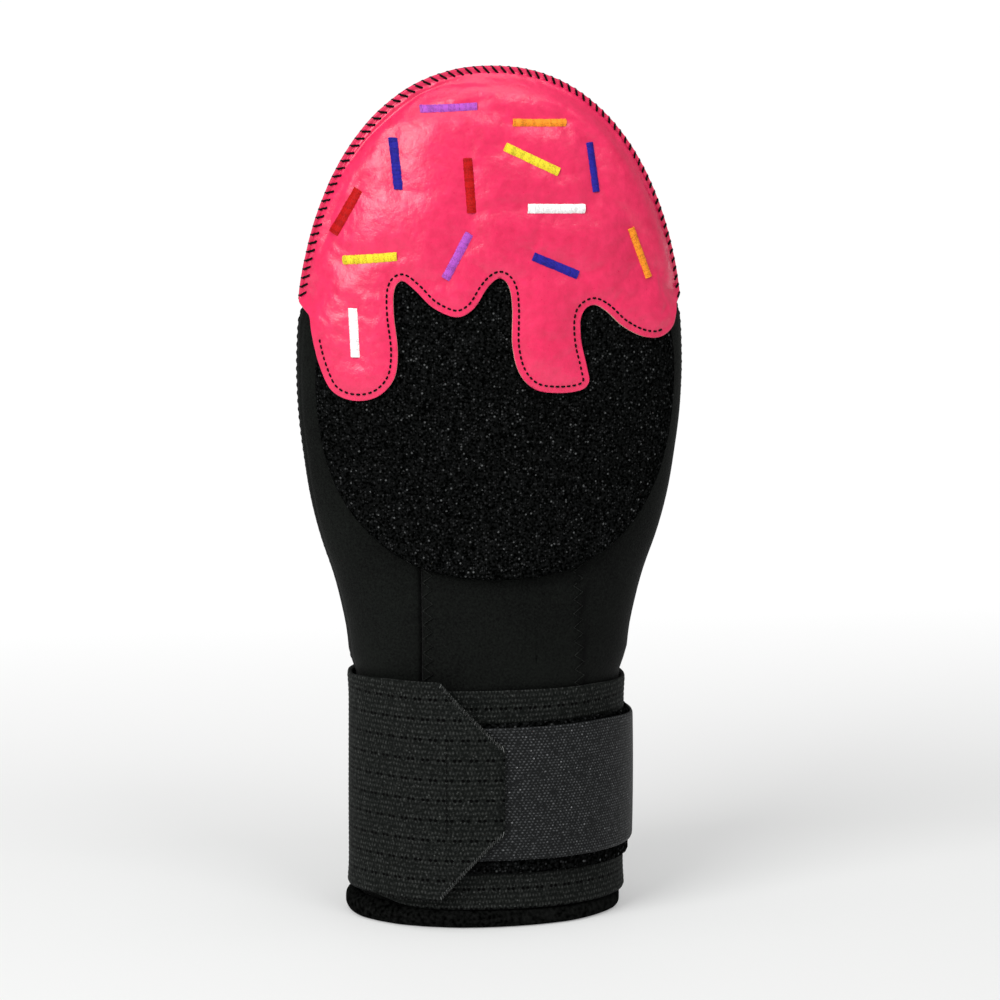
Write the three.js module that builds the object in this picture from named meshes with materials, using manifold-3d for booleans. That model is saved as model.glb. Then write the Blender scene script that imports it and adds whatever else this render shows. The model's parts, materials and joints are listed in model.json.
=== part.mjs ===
// A baseball sliding glove: a padded mitt that stands on its cuff, tip up.
// Millimetres, +Z up. The front, with the leather drip edge, faces -Y.

import * as THREE from "three";
import { mergeVertices } from "three/addons/utils/BufferGeometryUtils.js";
import Module from "manifold-3d";

const wasm = await Module();
wasm.setup();

// Overall form
const HEIGHT = 305;
const HAND_HALF = 69.8;
const HAND_FRONT = 23;
const HAND_BACK = 21;
const FLARE_START = 88;
const DOME_START = 196;
const DOME_POWER = 2.2;
const SECTION_POWER = 2.15;
const TIP_THINNING = 0.42;

// Wrist sleeve
const WRIST_HALF = 46.9;
const WRIST_FRONT = 32.5;
const WRIST_BACK = 31.5;
const WRIST_SHIFT = -0.7;

// Walls, layers and clearances
const CLEAR = 0.3;
const SLEEVE_WALL = 3;
const PADDED_WALL = 6;
const PAD_THICK = 4;
const LEATHER_THICK = 1.2;
const LAYER_STEP = 0.3;

// Edges
const STITCH_RIM = 4;
const RIM_THICK = 1.4;
const RIM_END = 223;
const SEAM_INSET = 0.4;
const SHOULDER_LOW = 214;
const SHOULDER_HIGH = 236;

// Front seams, pile pad, drip edge and the back cap's lower edge
const SEAM_LEFT = -28;
const SEAM_RIGHT = 30.5;
const PAD_HALF = 65.5;
const PAD_DROP = 72;
const PAD_CENTRE = 198.5;
const PAD_SHIFT = 0.8;
const PAD_MARGIN = 9;
const PAD_POWER = 2.5;
const PAD_TOP_POWER = 1.7;
const DRIP_LINE = 222;
const DRIP_DROP = 32;
const PATTERN_INSET = 1.3;
const PATTERN_SHIFT = -0.55;
const BACK_CAP_DROP = 24;

// Cuff
const LIP_HEIGHT = 6.6;
const LIP_BULGE = 2.8;
const LIP_ROUND = 2.2;
const LIP_SHIFT = -2;

// Straps on the wrist
const ELASTIC_TALL = 78;
const ELASTIC_SWELL = 2;
const ELASTIC_THICK = 1.8;
const ELASTIC_RISE = 4.5;
const FLAP_CHAMFER = 17.6;
const FLAP_END = 32;
const LOOP_TALL = 55;
const LOOP_THICK = 1.5;
const LOOP_RAISE = 13.7;
const HOOK_TALL = 48.5;
const HOOK_THICK = 1.3;
const HOOK_RAISE = 5.2;

// Where the straps begin and end, in degrees round the wrist: front -90, right 0, back 90, left 180
const ELASTIC_FROM = -165;
const ELASTIC_TO = 270.8;
const TAPE_FROM = -106;
const TAPE_TO = 78;
const CLIMB_TURN = 36;
const CLIMB_REST = 4;
const FULL_TURN = 360;

// Embroidered bars
const BAR_LONG = 19;
const BAR_WIDE = 3.1;
const BAR_HIGH = 0.8;

// How the wrist opens out into the hand: shares of the way up, of the widening and of the thinning
const FLARE = [
  { up: 0, wide: 0, deep: 0 },
  { up: 0.06, wide: 0.1, deep: 0.02 },
  { up: 0.19, wide: 0.235, deep: 0.14 },
  { up: 0.32, wide: 0.39, deep: 0.3 },
  { up: 0.46, wide: 0.615, deep: 0.53 },
  { up: 0.59, wide: 0.775, deep: 0.73 },
  { up: 0.73, wide: 0.885, deep: 0.88 },
  { up: 0.86, wide: 0.965, deep: 0.965 },
  { up: 1, wide: 1, deep: 1 },
];

// Drip edge, left to right: across as a share of PATTERN_HALF, down as a share of DRIP_DROP
const DRIPS = [
  { across: -0.945, down: 0.1 },
  { across: -0.938, down: 0.3 },
  { across: -0.905, down: 0.62 },
  { across: -0.845, down: 0.9 },
  { across: -0.74, down: 1 },
  { across: -0.62, down: 0.95 },
  { across: -0.535, down: 0.75 },
  { across: -0.513, down: 0.45 },
  { across: -0.53, down: 0.05 },
  { across: -0.525, down: -0.22 },
  { across: -0.485, down: -0.32 },
  { across: -0.42, down: -0.22 },
  { across: -0.33, down: -0.03 },
  { across: -0.21, down: 0.075 },
  { across: -0.12, down: -0.02 },
  { across: -0.05, down: -0.24 },
  { across: 0.015, down: -0.345 },
  { across: 0.065, down: -0.24 },
  { across: 0.078, down: 0 },
  { across: 0.075, down: 0.4 },
  { across: 0.11, down: 0.7 },
  { across: 0.19, down: 0.88 },
  { across: 0.31, down: 0.93 },
  { across: 0.43, down: 0.91 },
  { across: 0.475, down: 0.82 },
  { across: 0.465, down: 0.66 },
  { across: 0.435, down: 0.35 },
  { across: 0.44, down: 0.08 },
  { across: 0.5, down: -0.02 },
  { across: 0.57, down: 0.05 },
  { across: 0.66, down: 0.23 },
  { across: 0.77, down: 0.36 },
  { across: 0.87, down: 0.385 },
  { across: 0.945, down: 0.28 },
  { across: 0.975, down: 0.05 },
];

// Bars: across as a share of PATTERN_HALF, up as a share of HEIGHT, turn in degrees, shares of length and width
const BARS = [
  { name: "bar_purple_top", colour: 0xaf55c3, across: -0.22, up: 0.956, turn: 3, long: 1.05, wide: 0.85 },
  { name: "bar_orange_top", colour: 0xf5962d, across: 0.245, up: 0.938, turn: -2, long: 1.03, wide: 0.85 },
  { name: "bar_blue_left", colour: 0x28288c, across: -0.5, up: 0.893, turn: -86, long: 0.93, wide: 1 },
  { name: "bar_blue_right", colour: 0x28288c, across: 0.52, up: 0.885, turn: -84, long: 0.92, wide: 0.85 },
  { name: "bar_yellow_top", colour: 0xf5dc2d, across: 0.2, up: 0.897, turn: -26, long: 1.14, wide: 1 },
  { name: "bar_red_middle", colour: 0xcd1e19, across: -0.13, up: 0.869, turn: -87, long: 1.01, wide: 1.05 },
  { name: "bar_red_left", colour: 0xcd1e19, across: -0.75, up: 0.838, turn: 61, long: 0.97, wide: 1 },
  { name: "bar_white_right", colour: 0xfafafa, across: 0.32, up: 0.841, turn: -2, long: 1.11, wide: 1.05 },
  { name: "bar_yellow_left", colour: 0xf5dc2d, across: -0.64, up: 0.786, turn: 6, long: 0.98, wide: 1 },
  { name: "bar_purple_low", colour: 0xaf55c3, across: -0.2, up: 0.79, turn: 61, long: 0.97, wide: 1 },
  { name: "bar_blue_low", colour: 0x28288c, across: 0.31, up: 0.776, turn: -24, long: 0.95, wide: 1 },
  { name: "bar_orange_right", colour: 0xf5962d, across: 0.765, up: 0.785, turn: -70, long: 1, wide: 0.85 },
  { name: "bar_white_drip", colour: 0xfafafa, across: -0.73, up: 0.701, turn: -88, long: 0.91, wide: 1 },
];

// How finely the round forms are divided
const AROUND = 40;
const HOLLOW_STEP = 2;
const SLEEVE_ROWS = 2;
const FLARE_ROWS = 8;
const SHOULDER_ROWS = 3;
const DOME_ROWS = 8;
const DOME_LAST_TURN = 86;
const STRAP_STEP = 7;
const BAR_STEPS = 5;
const NARROWEST = 0.05;
const SLOPE_STEP = 0.01;
const FAR = 2 * HEIGHT;

const LEATHER_SIDE = 3 * LAYER_STEP;
const LEATHER_FRONT = PAD_THICK + 2 * CLEAR;
const RIM_INSET = STITCH_RIM + LEATHER_SIDE + LEATHER_THICK;
const PATTERN_HALF = HAND_HALF - PATTERN_INSET;

const radians = THREE.MathUtils.degToRad;
const mix = THREE.MathUtils.lerp;
const ease = THREE.MathUtils.smoothstep;
const power = (value, exponent) => Math.sign(value) * Math.abs(value) ** exponent;

// A column of the flare table at a share of the way up, on a smooth curve through its rows
const column = (key) => new THREE.SplineCurve(FLARE.map((row) => new THREE.Vector2(row.up, row[key])));
const CURVES = { wide: column("wide"), deep: column("deep") };

function flare(key, share) {
  const rows = FLARE.length - 1;
  const next = Math.max(1, FLARE.findIndex((row) => row.up >= share));
  const low = FLARE[next - 1];
  const within = (share - low.up) / (FLARE[next].up - low.up);
  return CURVES[key].getPoint((next - 1 + within) / rows).y;
}

// Half width and depths of the mitt at a height, for a layer grown at the side, front and back
function section(z, layer) {
  const top = HEIGHT - RIM_INSET + layer.side;
  const rise = THREE.MathUtils.clamp((z - FLARE_START) / (DOME_START - FLARE_START), 0, 1);
  const widening = flare("wide", rise);
  const thinning = flare("deep", rise);
  const dome = THREE.MathUtils.clamp((z - DOME_START) / (top - DOME_START), 0, 1);
  const round = (1 - dome ** DOME_POWER) ** (1 / DOME_POWER);
  const thin = (1 - TIP_THINNING * dome) * (1 - dome ** 3) ** (1 / 3);
  const shoulder = (RIM_INSET - SEAM_INSET) * (1 - ease(z, SHOULDER_LOW, SHOULDER_HIGH));
  const hand = (HAND_HALF - RIM_INSET + layer.side) * round + shoulder;
  return {
    shift: WRIST_SHIFT * (1 - widening),
    half: mix(WRIST_HALF + layer.side, hand, widening),
    front: (mix(WRIST_FRONT, HAND_FRONT, thinning) + layer.front) * thin,
    back: (mix(WRIST_BACK, HAND_BACK, thinning) + layer.back) * thin,
  };
}

// A point on a layer at a height and an angle round it
function wall(angle, z, layer) {
  const size = section(z, layer);
  const across = power(Math.cos(angle), 2 / SECTION_POWER);
  const through = power(Math.sin(angle), 2 / SECTION_POWER);
  const depth = through < 0 ? size.front : size.back;
  return new THREE.Vector3(size.shift + size.half * across, depth * through, z);
}

// The front of a layer at a place seen from the front
function frontDepth(x, z, layer) {
  const size = section(z, layer);
  const share = Math.min(Math.abs(x - size.shift) / size.half, 1);
  return -size.front * (1 - share ** SECTION_POWER) ** (1 / SECTION_POWER);
}

// Heights of the rings: evenly up to the rim's shoulder, then close together where the tip rounds over
function ringHeights(bottom, top) {
  const heights = [];
  const climb = (low, high, rows) => {
    for (let i = 0; i < rows; i += 1) heights.push(mix(low, high, i / rows));
  };
  climb(bottom, FLARE_START, SLEEVE_ROWS);
  climb(FLARE_START, DOME_START, FLARE_ROWS);
  climb(DOME_START, SHOULDER_LOW, 1);
  climb(SHOULDER_LOW, SHOULDER_HIGH, SHOULDER_ROWS);
  const firstTurn = Math.asin((SHOULDER_HIGH - DOME_START) / (top - DOME_START));
  for (let i = 0; i <= DOME_ROWS; i += 1) {
    const turn = mix(firstTurn, radians(DOME_LAST_TURN), i / DOME_ROWS);
    heights.push(mix(DOME_START, top, Math.sin(turn)));
  }
  return heights;
}

// Moves every point of a plain geometry to its place on the real form
function bend(geometry, place) {
  const points = geometry.attributes.position;
  const point = new THREE.Vector3();
  for (let i = 0; i < points.count; i += 1) {
    point.fromBufferAttribute(points, i);
    points.setXYZ(i, ...place(point).toArray());
  }
  return geometry;
}

// A closed geometry as a solid that can be joined and cut
function solid(geometry) {
  geometry.deleteAttribute("normal");
  geometry.deleteAttribute("uv");
  const merged = mergeVertices(geometry, 1e-4);
  const vertProperties = Float32Array.from(merged.attributes.position.array);
  const triVerts = Uint32Array.from(merged.index.array);
  const made = new wasm.Manifold(new wasm.Mesh({ numProp: 3, vertProperties, triVerts }));
  return made.volume() < 0 ? turnedOut(vertProperties, triVerts) : made;
}

function turnedOut(vertProperties, triVerts) {
  for (let i = 0; i < triVerts.length; i += 3) {
    [triVerts[i], triVerts[i + 1]] = [triVerts[i + 1], triVerts[i]];
  }
  return new wasm.Manifold(new wasm.Mesh({ numProp: 3, vertProperties, triVerts }));
}

// A plain drum with one row of faces between each two heights
const drum = (heights) => new THREE.CylinderGeometry(1, 1, heights.length - 1, AROUND, heights.length - 1);
const heightOf = (point, heights) => heights[Math.round(point.y + (heights.length - 1) / 2)];
const reachOf = (point) => Math.min(1, Math.hypot(point.x, point.z));

// The whole mitt at a layer, as a closed block
function block(layer, bottom) {
  const heights = ringHeights(bottom, HEIGHT - RIM_INSET + layer.side);
  return solid(bend(drum(heights), (point) => {
    const z = heightOf(point, heights);
    const middle = new THREE.Vector3(section(z, layer).shift, 0, z);
    return middle.lerp(wall(Math.atan2(point.z, point.x), z, layer), reachOf(point));
  }));
}

function box(low, high) {
  const size = new THREE.Vector3().subVectors(high, low);
  const middle = new THREE.Vector3().addVectors(low, high).multiplyScalar(0.5);
  const geometry = new THREE.BoxGeometry(size.x, size.y, size.z);
  geometry.translate(middle.x, middle.y, middle.z);
  return solid(geometry);
}

// A front-view outline run through the object between two depths
function run(shape, nearest, farthest) {
  const geometry = new THREE.ExtrudeGeometry(shape, { depth: farthest - nearest, bevelEnabled: false });
  geometry.rotateX(Math.PI / 2);
  geometry.translate(0, farthest, 0);
  return solid(geometry);
}

const front = (low, high) => box(new THREE.Vector3(low, -FAR, -FAR), new THREE.Vector3(high, -CLEAR / 2, FAR));
const behind = () => box(new THREE.Vector3(-FAR, CLEAR / 2, -FAR), new THREE.Vector3(FAR, FAR, FAR));

const BODY = { side: 0, front: 0, back: 0 };
const PAD_UNDER = { side: LAYER_STEP, front: CLEAR, back: 0 };
const PAD_OVER = { side: 2 * LAYER_STEP, front: CLEAR + PAD_THICK, back: 0 };
const LEATHER_UNDER = { side: LEATHER_SIDE, front: LEATHER_FRONT, back: CLEAR };
const LEATHER_OVER = {
  side: LEATHER_SIDE + LEATHER_THICK,
  front: LEATHER_FRONT + LEATHER_THICK,
  back: CLEAR + LEATHER_THICK,
};

// The hollow for the hand: thin at the sleeve, thicker where the mitt is padded. It needs fewer rings.
function hollow() {
  const tip = HEIGHT - RIM_INSET;
  const top = tip - 2 * PADDED_WALL;
  const heights = ringHeights(-CLEAR, top).filter((_, ring) => ring % HOLLOW_STEP === 0);
  const stretch = (tip - DOME_START) / (top - DOME_START);
  return solid(bend(drum(heights), (point) => {
    const z = heightOf(point, heights);
    const outerZ = Math.max(z, DOME_START + (z - DOME_START) * stretch);
    const thick = mix(SLEEVE_WALL, PADDED_WALL, ease(z, FLARE_START, DOME_START));
    const size = section(outerZ, BODY);
    const outer = wall(Math.atan2(point.z, point.x), outerZ, BODY);
    const depth = outer.y < 0 ? size.front : size.back;
    const keepAcross = Math.max(NARROWEST, 1 - thick / size.half) * reachOf(point);
    const keepThrough = Math.max(NARROWEST, 1 - thick / depth) * reachOf(point);
    return new THREE.Vector3(mix(size.shift, outer.x, keepAcross), outer.y * keepThrough, z);
  }));
}

// Half width of the whole outline, rim included, at a share of the way up the dome
const outlineHalf = (share) => HAND_HALF * (1 - share ** DOME_POWER) ** (1 / DOME_POWER);

// The tip's outline above the end of the rim
function rimShape() {
  const first = (RIM_END - DOME_START) / (HEIGHT - DOME_START);
  const start = Math.asin(first);
  const shape = new THREE.Shape();
  const side = [];
  for (let i = 0; i <= 2 * DOME_ROWS; i += 1) {
    const share = Math.sin(mix(start, Math.PI / 2, i / (2 * DOME_ROWS)));
    side.push(new THREE.Vector2(outlineHalf(share), mix(DOME_START, HEIGHT, share)));
  }
  const left = side.slice(0, -1).reverse().map((point) => new THREE.Vector2(-point.x, point.y));
  shape.setFromPoints([...side, ...left]);
  return shape;
}

const patternX = (row) => PATTERN_SHIFT + row.across * PATTERN_HALF;
const dripPoint = (row) => new THREE.Vector2(patternX(row), DRIP_LINE - row.down * DRIP_DROP);

// Everything above the drip edge, as wide as the mitt and more
function dripShape() {
  const edge = new THREE.SplineCurve(DRIPS.map(dripPoint)).getPoints(2 * DRIPS.length);
  const shape = new THREE.Shape();
  shape.setFromPoints([
    new THREE.Vector2(-FAR, RIM_END),
    ...edge,
    new THREE.Vector2(FAR, RIM_END),
    new THREE.Vector2(FAR, FAR),
    new THREE.Vector2(-FAR, FAR),
  ]);
  return shape;
}

// Everything above the back cap's plain curved lower edge
function backCapShape() {
  const edge = new THREE.QuadraticBezierCurve(
    new THREE.Vector2(-HAND_HALF, RIM_END),
    new THREE.Vector2(0, RIM_END - 2 * BACK_CAP_DROP),
    new THREE.Vector2(HAND_HALF, RIM_END),
  ).getPoints(DOME_ROWS);
  const shape = new THREE.Shape();
  shape.setFromPoints([...edge, new THREE.Vector2(HAND_HALF, FAR), new THREE.Vector2(-HAND_HALF, FAR)]);
  return shape;
}

// The pile pad: a full, rounded half below, and a narrower one that stays under the leather above
function padShape() {
  const top = HEIGHT - RIM_INSET - PAD_MARGIN;
  const shape = new THREE.Shape();
  const points = [];
  for (let i = 0; i < AROUND; i += 1) {
    const turn = (2 * Math.PI * i) / AROUND;
    const below = Math.sin(turn) < 0;
    const swell = 2 / (below ? PAD_POWER : PAD_TOP_POWER);
    const reach = below ? -PAD_DROP : top - PAD_CENTRE;
    const across = PAD_SHIFT + PAD_HALF * power(Math.cos(turn), swell);
    points.push(new THREE.Vector2(across, PAD_CENTRE + reach * Math.abs(Math.sin(turn)) ** swell));
  }
  shape.setFromPoints(points);
  return shape;
}

// A strip wrapped on the sleeve: angles in degrees, its height and how far out it lies at each angle
function wrap(strip) {
  const steps = Math.ceil((strip.to - strip.from) / STRAP_STEP);
  const plain = new THREE.BoxGeometry(1, 1, 1, steps, 1, 1);
  return bend(plain, (point) => {
    const degrees = mix(strip.from, strip.to, point.x + 0.5);
    const [low, high] = strip.edges(degrees);
    const z = mix(low, high, point.y + 0.5);
    const out = strip.out(degrees) + strip.thick * (point.z + 0.5);
    return wall(radians(degrees), Math.min(FLARE_START, z), { side: out, front: out, back: out }).setZ(z);
  });
}

const ON_SLEEVE = CLEAR;
const ON_ELASTIC = ON_SLEEVE + ELASTIC_THICK + CLEAR;
const ON_LOOP = ON_ELASTIC + LOOP_THICK + CLEAR;
const ON_HOOK = ON_LOOP + HOOK_THICK + CLEAR;

// The elastic climbs over its own start at the left and over the tapes at the front
function elasticOut(degrees) {
  const climb = (start) => {
    const reached = FULL_TURN + start - CLIMB_REST;
    return ease(degrees, reached - CLIMB_TURN, reached);
  };
  const overStart = climb(ELASTIC_FROM);
  const overTapes = climb(TAPE_FROM);
  return ON_SLEEVE + (ON_ELASTIC - ON_SLEEVE) * overStart + (ON_HOOK - ON_ELASTIC) * overTapes;
}

// It swells a little at the front, and its end has two chamfers that leave a short straight tip
function elasticEdges(degrees) {
  const base = LIP_HEIGHT + CLEAR + ELASTIC_RISE * ease(degrees, 0, ELASTIC_TO);
  const chamferTurn = THREE.MathUtils.radToDeg(FLAP_CHAMFER / (WRIST_FRONT + WRIST_HALF / 4));
  const cut = Math.max(0, (degrees - (ELASTIC_TO - chamferTurn)) / chamferTurn);
  const trim = (cut * (ELASTIC_TALL + ELASTIC_SWELL - FLAP_END)) / 2;
  const tall = ELASTIC_TALL + ELASTIC_SWELL * Math.max(0, -Math.sin(radians(degrees)));
  return [base + trim, base + tall - trim];
}

// The soft hem, rounded outside and flat where it stands
function cuffLip() {
  const profile = [
    [-SLEEVE_WALL, LIP_HEIGHT],
    [-SLEEVE_WALL, LIP_ROUND],
    [LIP_ROUND - SLEEVE_WALL, 0],
    [LIP_BULGE - LIP_ROUND, 0],
    [LIP_BULGE, LIP_ROUND],
    [LIP_BULGE, LIP_HEIGHT - LIP_ROUND],
    [LIP_BULGE - LIP_ROUND, LIP_HEIGHT],
    [-SLEEVE_WALL, LIP_HEIGHT],
  ].map(([out, up]) => new THREE.Vector2(WRIST_HALF + out, up));
  return bend(new THREE.LatheGeometry(profile, AROUND), (point) => {
    const out = Math.hypot(point.x, point.z) - WRIST_HALF;
    const place = wall(Math.atan2(point.z, point.x), 0, { side: out, front: out, back: out });
    return new THREE.Vector3(place.x + LIP_SHIFT, place.y, point.y);
  });
}

// One embroidered bar, laid on the leather
function bar(row) {
  const plain = new THREE.BoxGeometry(BAR_LONG * row.long, BAR_WIDE * row.wide, 1, BAR_STEPS, 2, 1);
  const turn = radians(row.turn);
  return bend(plain, (point) => {
    const x = patternX(row) + point.x * Math.cos(turn) - point.y * Math.sin(turn);
    const z = row.up * HEIGHT + point.x * Math.sin(turn) + point.y * Math.cos(turn);
    const y = frontDepth(x, z, LEATHER_OVER);
    const away = new THREE.Vector3(
      (frontDepth(x + SLOPE_STEP, z, LEATHER_OVER) - y) / SLOPE_STEP,
      -1,
      (frontDepth(x, z + SLOPE_STEP, LEATHER_OVER) - y) / SLOPE_STEP,
    ).normalize();
    const lift = CLEAR + (point.z + 0.5) * BAR_HIGH;
    return new THREE.Vector3(x, y, z).addScaledVector(away, lift);
  });
}

const group = new THREE.Group();

function add(name, made, colour, roughness) {
  let geometry = new THREE.BufferGeometry();
  if (made.getMesh) {
    const mesh = made.getMesh();
    geometry.setAttribute("position", new THREE.BufferAttribute(Float32Array.from(mesh.vertProperties), 3));
    geometry.setIndex(Array.from(mesh.triVerts));
  } else {
    geometry = made;
    geometry.deleteAttribute("uv");
    geometry.deleteAttribute("normal");
  }
  geometry.computeVertexNormals();
  const material = new THREE.MeshStandardMaterial({ color: colour, roughness, metalness: 0 });
  const mesh = new THREE.Mesh(geometry, material);
  mesh.name = name;
  group.add(mesh);
}

const BLACK_FABRIC = 0x141816;
const ELASTIC_GREY = 0x2a2c2a;
const HOOK_GREY = 0x3c3e40;
const PINK_LEATHER = 0xee3a69;

const shell = block(BODY, LIP_HEIGHT + CLEAR).subtract(hollow());
add("back_panel", shell.intersect(behind()), BLACK_FABRIC, 0.85);
add("front_left_panel", shell.intersect(front(-FAR, SEAM_LEFT - CLEAR / 2)), BLACK_FABRIC, 0.85);
add("front_centre_panel", shell.intersect(front(SEAM_LEFT + CLEAR / 2, SEAM_RIGHT - CLEAR / 2)), BLACK_FABRIC, 0.85);
add("front_right_panel", shell.intersect(front(SEAM_RIGHT + CLEAR / 2, FAR)), BLACK_FABRIC, 0.85);
add("cuff_lip", solid(cuffLip()), BLACK_FABRIC, 0.95);

const padLayer = block(PAD_OVER, FLARE_START).subtract(block(PAD_UNDER, FLARE_START - 1));
add("loop_pad", padLayer.intersect(run(padShape(), -FAR, -CLEAR)), BLACK_FABRIC, 1);

const leatherUnder = block(LEATHER_UNDER, FLARE_START - 1);
const leatherOver = block(LEATHER_OVER, FLARE_START);

// A leather cap: a puffed skin and the flat rim that is whipstitched to the other cap
function cap(shape, nearest, farthest, rimNearest) {
  const skin = leatherOver.intersect(run(shape, nearest, farthest));
  const rim = run(rimShape(), rimNearest, rimNearest + RIM_THICK);
  return skin.add(rim).subtract(leatherUnder);
}

const frontCap = cap(dripShape(), -FAR, -CLEAR / 2, -CLEAR / 2 - RIM_THICK);
const backCap = cap(backCapShape(), CLEAR / 2, FAR, CLEAR / 2);
add("leather_front_cap", frontCap, PINK_LEATHER, 0.4);
add("leather_back_cap", backCap, PINK_LEATHER, 0.4);

const elastic = {
  from: ELASTIC_FROM, to: ELASTIC_TO, thick: ELASTIC_THICK, out: elasticOut, edges: elasticEdges,
};
const loop = {
  from: TAPE_FROM, to: TAPE_TO, thick: LOOP_THICK, out: () => ON_ELASTIC,
  edges: () => [LIP_HEIGHT + LOOP_RAISE, LIP_HEIGHT + LOOP_RAISE + LOOP_TALL],
};
const hook = {
  from: TAPE_FROM, to: TAPE_TO, thick: HOOK_THICK, out: () => ON_LOOP,
  edges: () => [LIP_HEIGHT + LOOP_RAISE + HOOK_RAISE, LIP_HEIGHT + LOOP_RAISE + HOOK_RAISE + HOOK_TALL],
};
add("elastic_strap", solid(wrap(elastic)), ELASTIC_GREY, 0.8);
add("loop_strip", solid(wrap(loop)), BLACK_FABRIC, 1);
add("hook_tape", solid(wrap(hook)), HOOK_GREY, 0.5);
BARS.forEach((row) => add(row.name, solid(bar(row)), row.colour, 0.45));

// The origin is under the middle of the whole object
const whole = new THREE.Box3().setFromObject(group);
group.position.set(-(whole.min.x + whole.max.x) / 2, -(whole.min.y + whole.max.y) / 2, 0);
group.updateMatrixWorld(true);

export default group;
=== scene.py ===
# %% [markdown]
# A baseball sliding glove is a padded mitt that a runner wears to protect the hand. This lesson dresses
# a model of one: a black neoprene body, a raised pile pad, a puffed pink leather tip with a whipstitched
# rim, embroidered bars, and a wide elastic wrist strap. The solids of the model are loaded first, because
# every piece made here is laid on them at their real size, in metres.

# %% Load the model
import json
import math
from functools import lru_cache

import bmesh
import bpy
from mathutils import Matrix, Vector, bvhtree, kdtree, noise

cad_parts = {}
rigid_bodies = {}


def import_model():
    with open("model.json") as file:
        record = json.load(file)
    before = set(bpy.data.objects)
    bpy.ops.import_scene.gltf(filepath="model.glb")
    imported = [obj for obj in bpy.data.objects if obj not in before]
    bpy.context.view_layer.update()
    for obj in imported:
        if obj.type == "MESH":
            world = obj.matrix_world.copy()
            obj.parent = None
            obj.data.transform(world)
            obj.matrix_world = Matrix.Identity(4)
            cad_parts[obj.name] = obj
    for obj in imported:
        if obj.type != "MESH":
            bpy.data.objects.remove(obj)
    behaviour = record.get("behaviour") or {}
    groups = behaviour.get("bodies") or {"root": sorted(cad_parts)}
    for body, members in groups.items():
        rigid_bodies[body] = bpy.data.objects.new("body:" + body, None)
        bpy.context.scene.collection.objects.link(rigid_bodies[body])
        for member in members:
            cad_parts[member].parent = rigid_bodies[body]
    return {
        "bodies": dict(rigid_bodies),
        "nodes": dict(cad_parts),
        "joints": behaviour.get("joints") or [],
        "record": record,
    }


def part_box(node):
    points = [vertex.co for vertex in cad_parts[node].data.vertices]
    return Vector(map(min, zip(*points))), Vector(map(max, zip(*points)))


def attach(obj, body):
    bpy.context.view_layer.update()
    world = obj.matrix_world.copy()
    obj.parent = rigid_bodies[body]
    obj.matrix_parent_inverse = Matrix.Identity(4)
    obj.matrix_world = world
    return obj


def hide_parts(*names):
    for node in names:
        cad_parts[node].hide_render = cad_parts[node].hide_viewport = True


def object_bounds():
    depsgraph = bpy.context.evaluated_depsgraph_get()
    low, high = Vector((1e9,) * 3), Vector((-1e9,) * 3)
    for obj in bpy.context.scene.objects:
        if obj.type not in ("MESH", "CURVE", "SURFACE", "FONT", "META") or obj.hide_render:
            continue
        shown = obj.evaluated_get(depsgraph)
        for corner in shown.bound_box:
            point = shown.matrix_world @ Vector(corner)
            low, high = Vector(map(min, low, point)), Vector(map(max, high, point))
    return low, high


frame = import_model()
cad_low, cad_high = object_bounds()
MM = 0.001
print("the model's box in mm", [round(v / MM, 1) for v in (*cad_low, *cad_high)])

# %% [markdown]
# The mitt's form is a stack of oval sections. The wrist is a nearly upright sleeve, the hand flares out
# of it, and the tip closes in a dome. The same few sizes could be traced as a mesh by hand, but a short
# function of height gives every layer, from the neoprene to the leather on it, the same flowing shape.
# Two sizes are read from the solids: the overall height and the plane of the side seams.

# %% Sizes of the mitt
CLEAR = 0.3 * MM
HEIGHT = cad_high.z
SEAM_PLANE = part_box("back_panel")[0].y - CLEAR / 2
HAND_HALF = 69.8 * MM
HAND_FRONT = 23 * MM
HAND_BACK = 21 * MM
FLARE_START = 88 * MM
DOME_START = 196 * MM
DOME_POWER = 2.2
SECTION_POWER = 2.15
TIP_THINNING = 0.42
WRIST_HALF = 46.9 * MM
WRIST_FRONT = 32.5 * MM
WRIST_BACK = 31.5 * MM
WRIST_SHIFT = -0.7 * MM
PAD_THICK = 4 * MM
LEATHER_THICK = 1.2 * MM
STITCH_RIM = 4 * MM
RIM_THICK = 1.4 * MM
RIM_END = 223 * MM
RIM_INSET = STITCH_RIM + 0.9 * MM + LEATHER_THICK
SEAM_INSET = 0.4 * MM
SHOULDER = (214 * MM, 236 * MM)

# Shares of the way up the flare, of its widening and of its thinning
FLARE = (
    (0, 0, 0), (0.06, 0.1, 0.02), (0.19, 0.235, 0.14), (0.32, 0.39, 0.3), (0.46, 0.615, 0.53),
    (0.59, 0.775, 0.73), (0.73, 0.885, 0.88), (0.86, 0.965, 0.965), (1, 1, 1),
)

# Each layer grows at the side, at the front and at the back
BODY = (0, 0, 0)
PAD_TOP = (0.6 * MM, CLEAR + PAD_THICK, 0)
LEATHER = (0.9 * MM + LEATHER_THICK, PAD_THICK + 2 * CLEAR + LEATHER_THICK, CLEAR + LEATHER_THICK)
print("side seams lie in the plane y =", round(SEAM_PLANE / MM, 2), "mm")

# %% [markdown]
# Every piece of the mitt follows one soft form, so the form is written once as functions. Each level
# above the floor has an oval section with its own width and depths, and every layer sits a little
# further out. A piece then only asks for points on the wall or on the front where it needs them.


# %% Functions of the form
def mix(low, high, share):
    """A value between two others."""
    return low + (high - low) * share


def ease(value, low, high):
    """Rises softly from 0 to 1 as a value goes from low to high."""
    share = min(max((value - low) / (high - low), 0), 1)
    return share * share * (3 - 2 * share)


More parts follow.
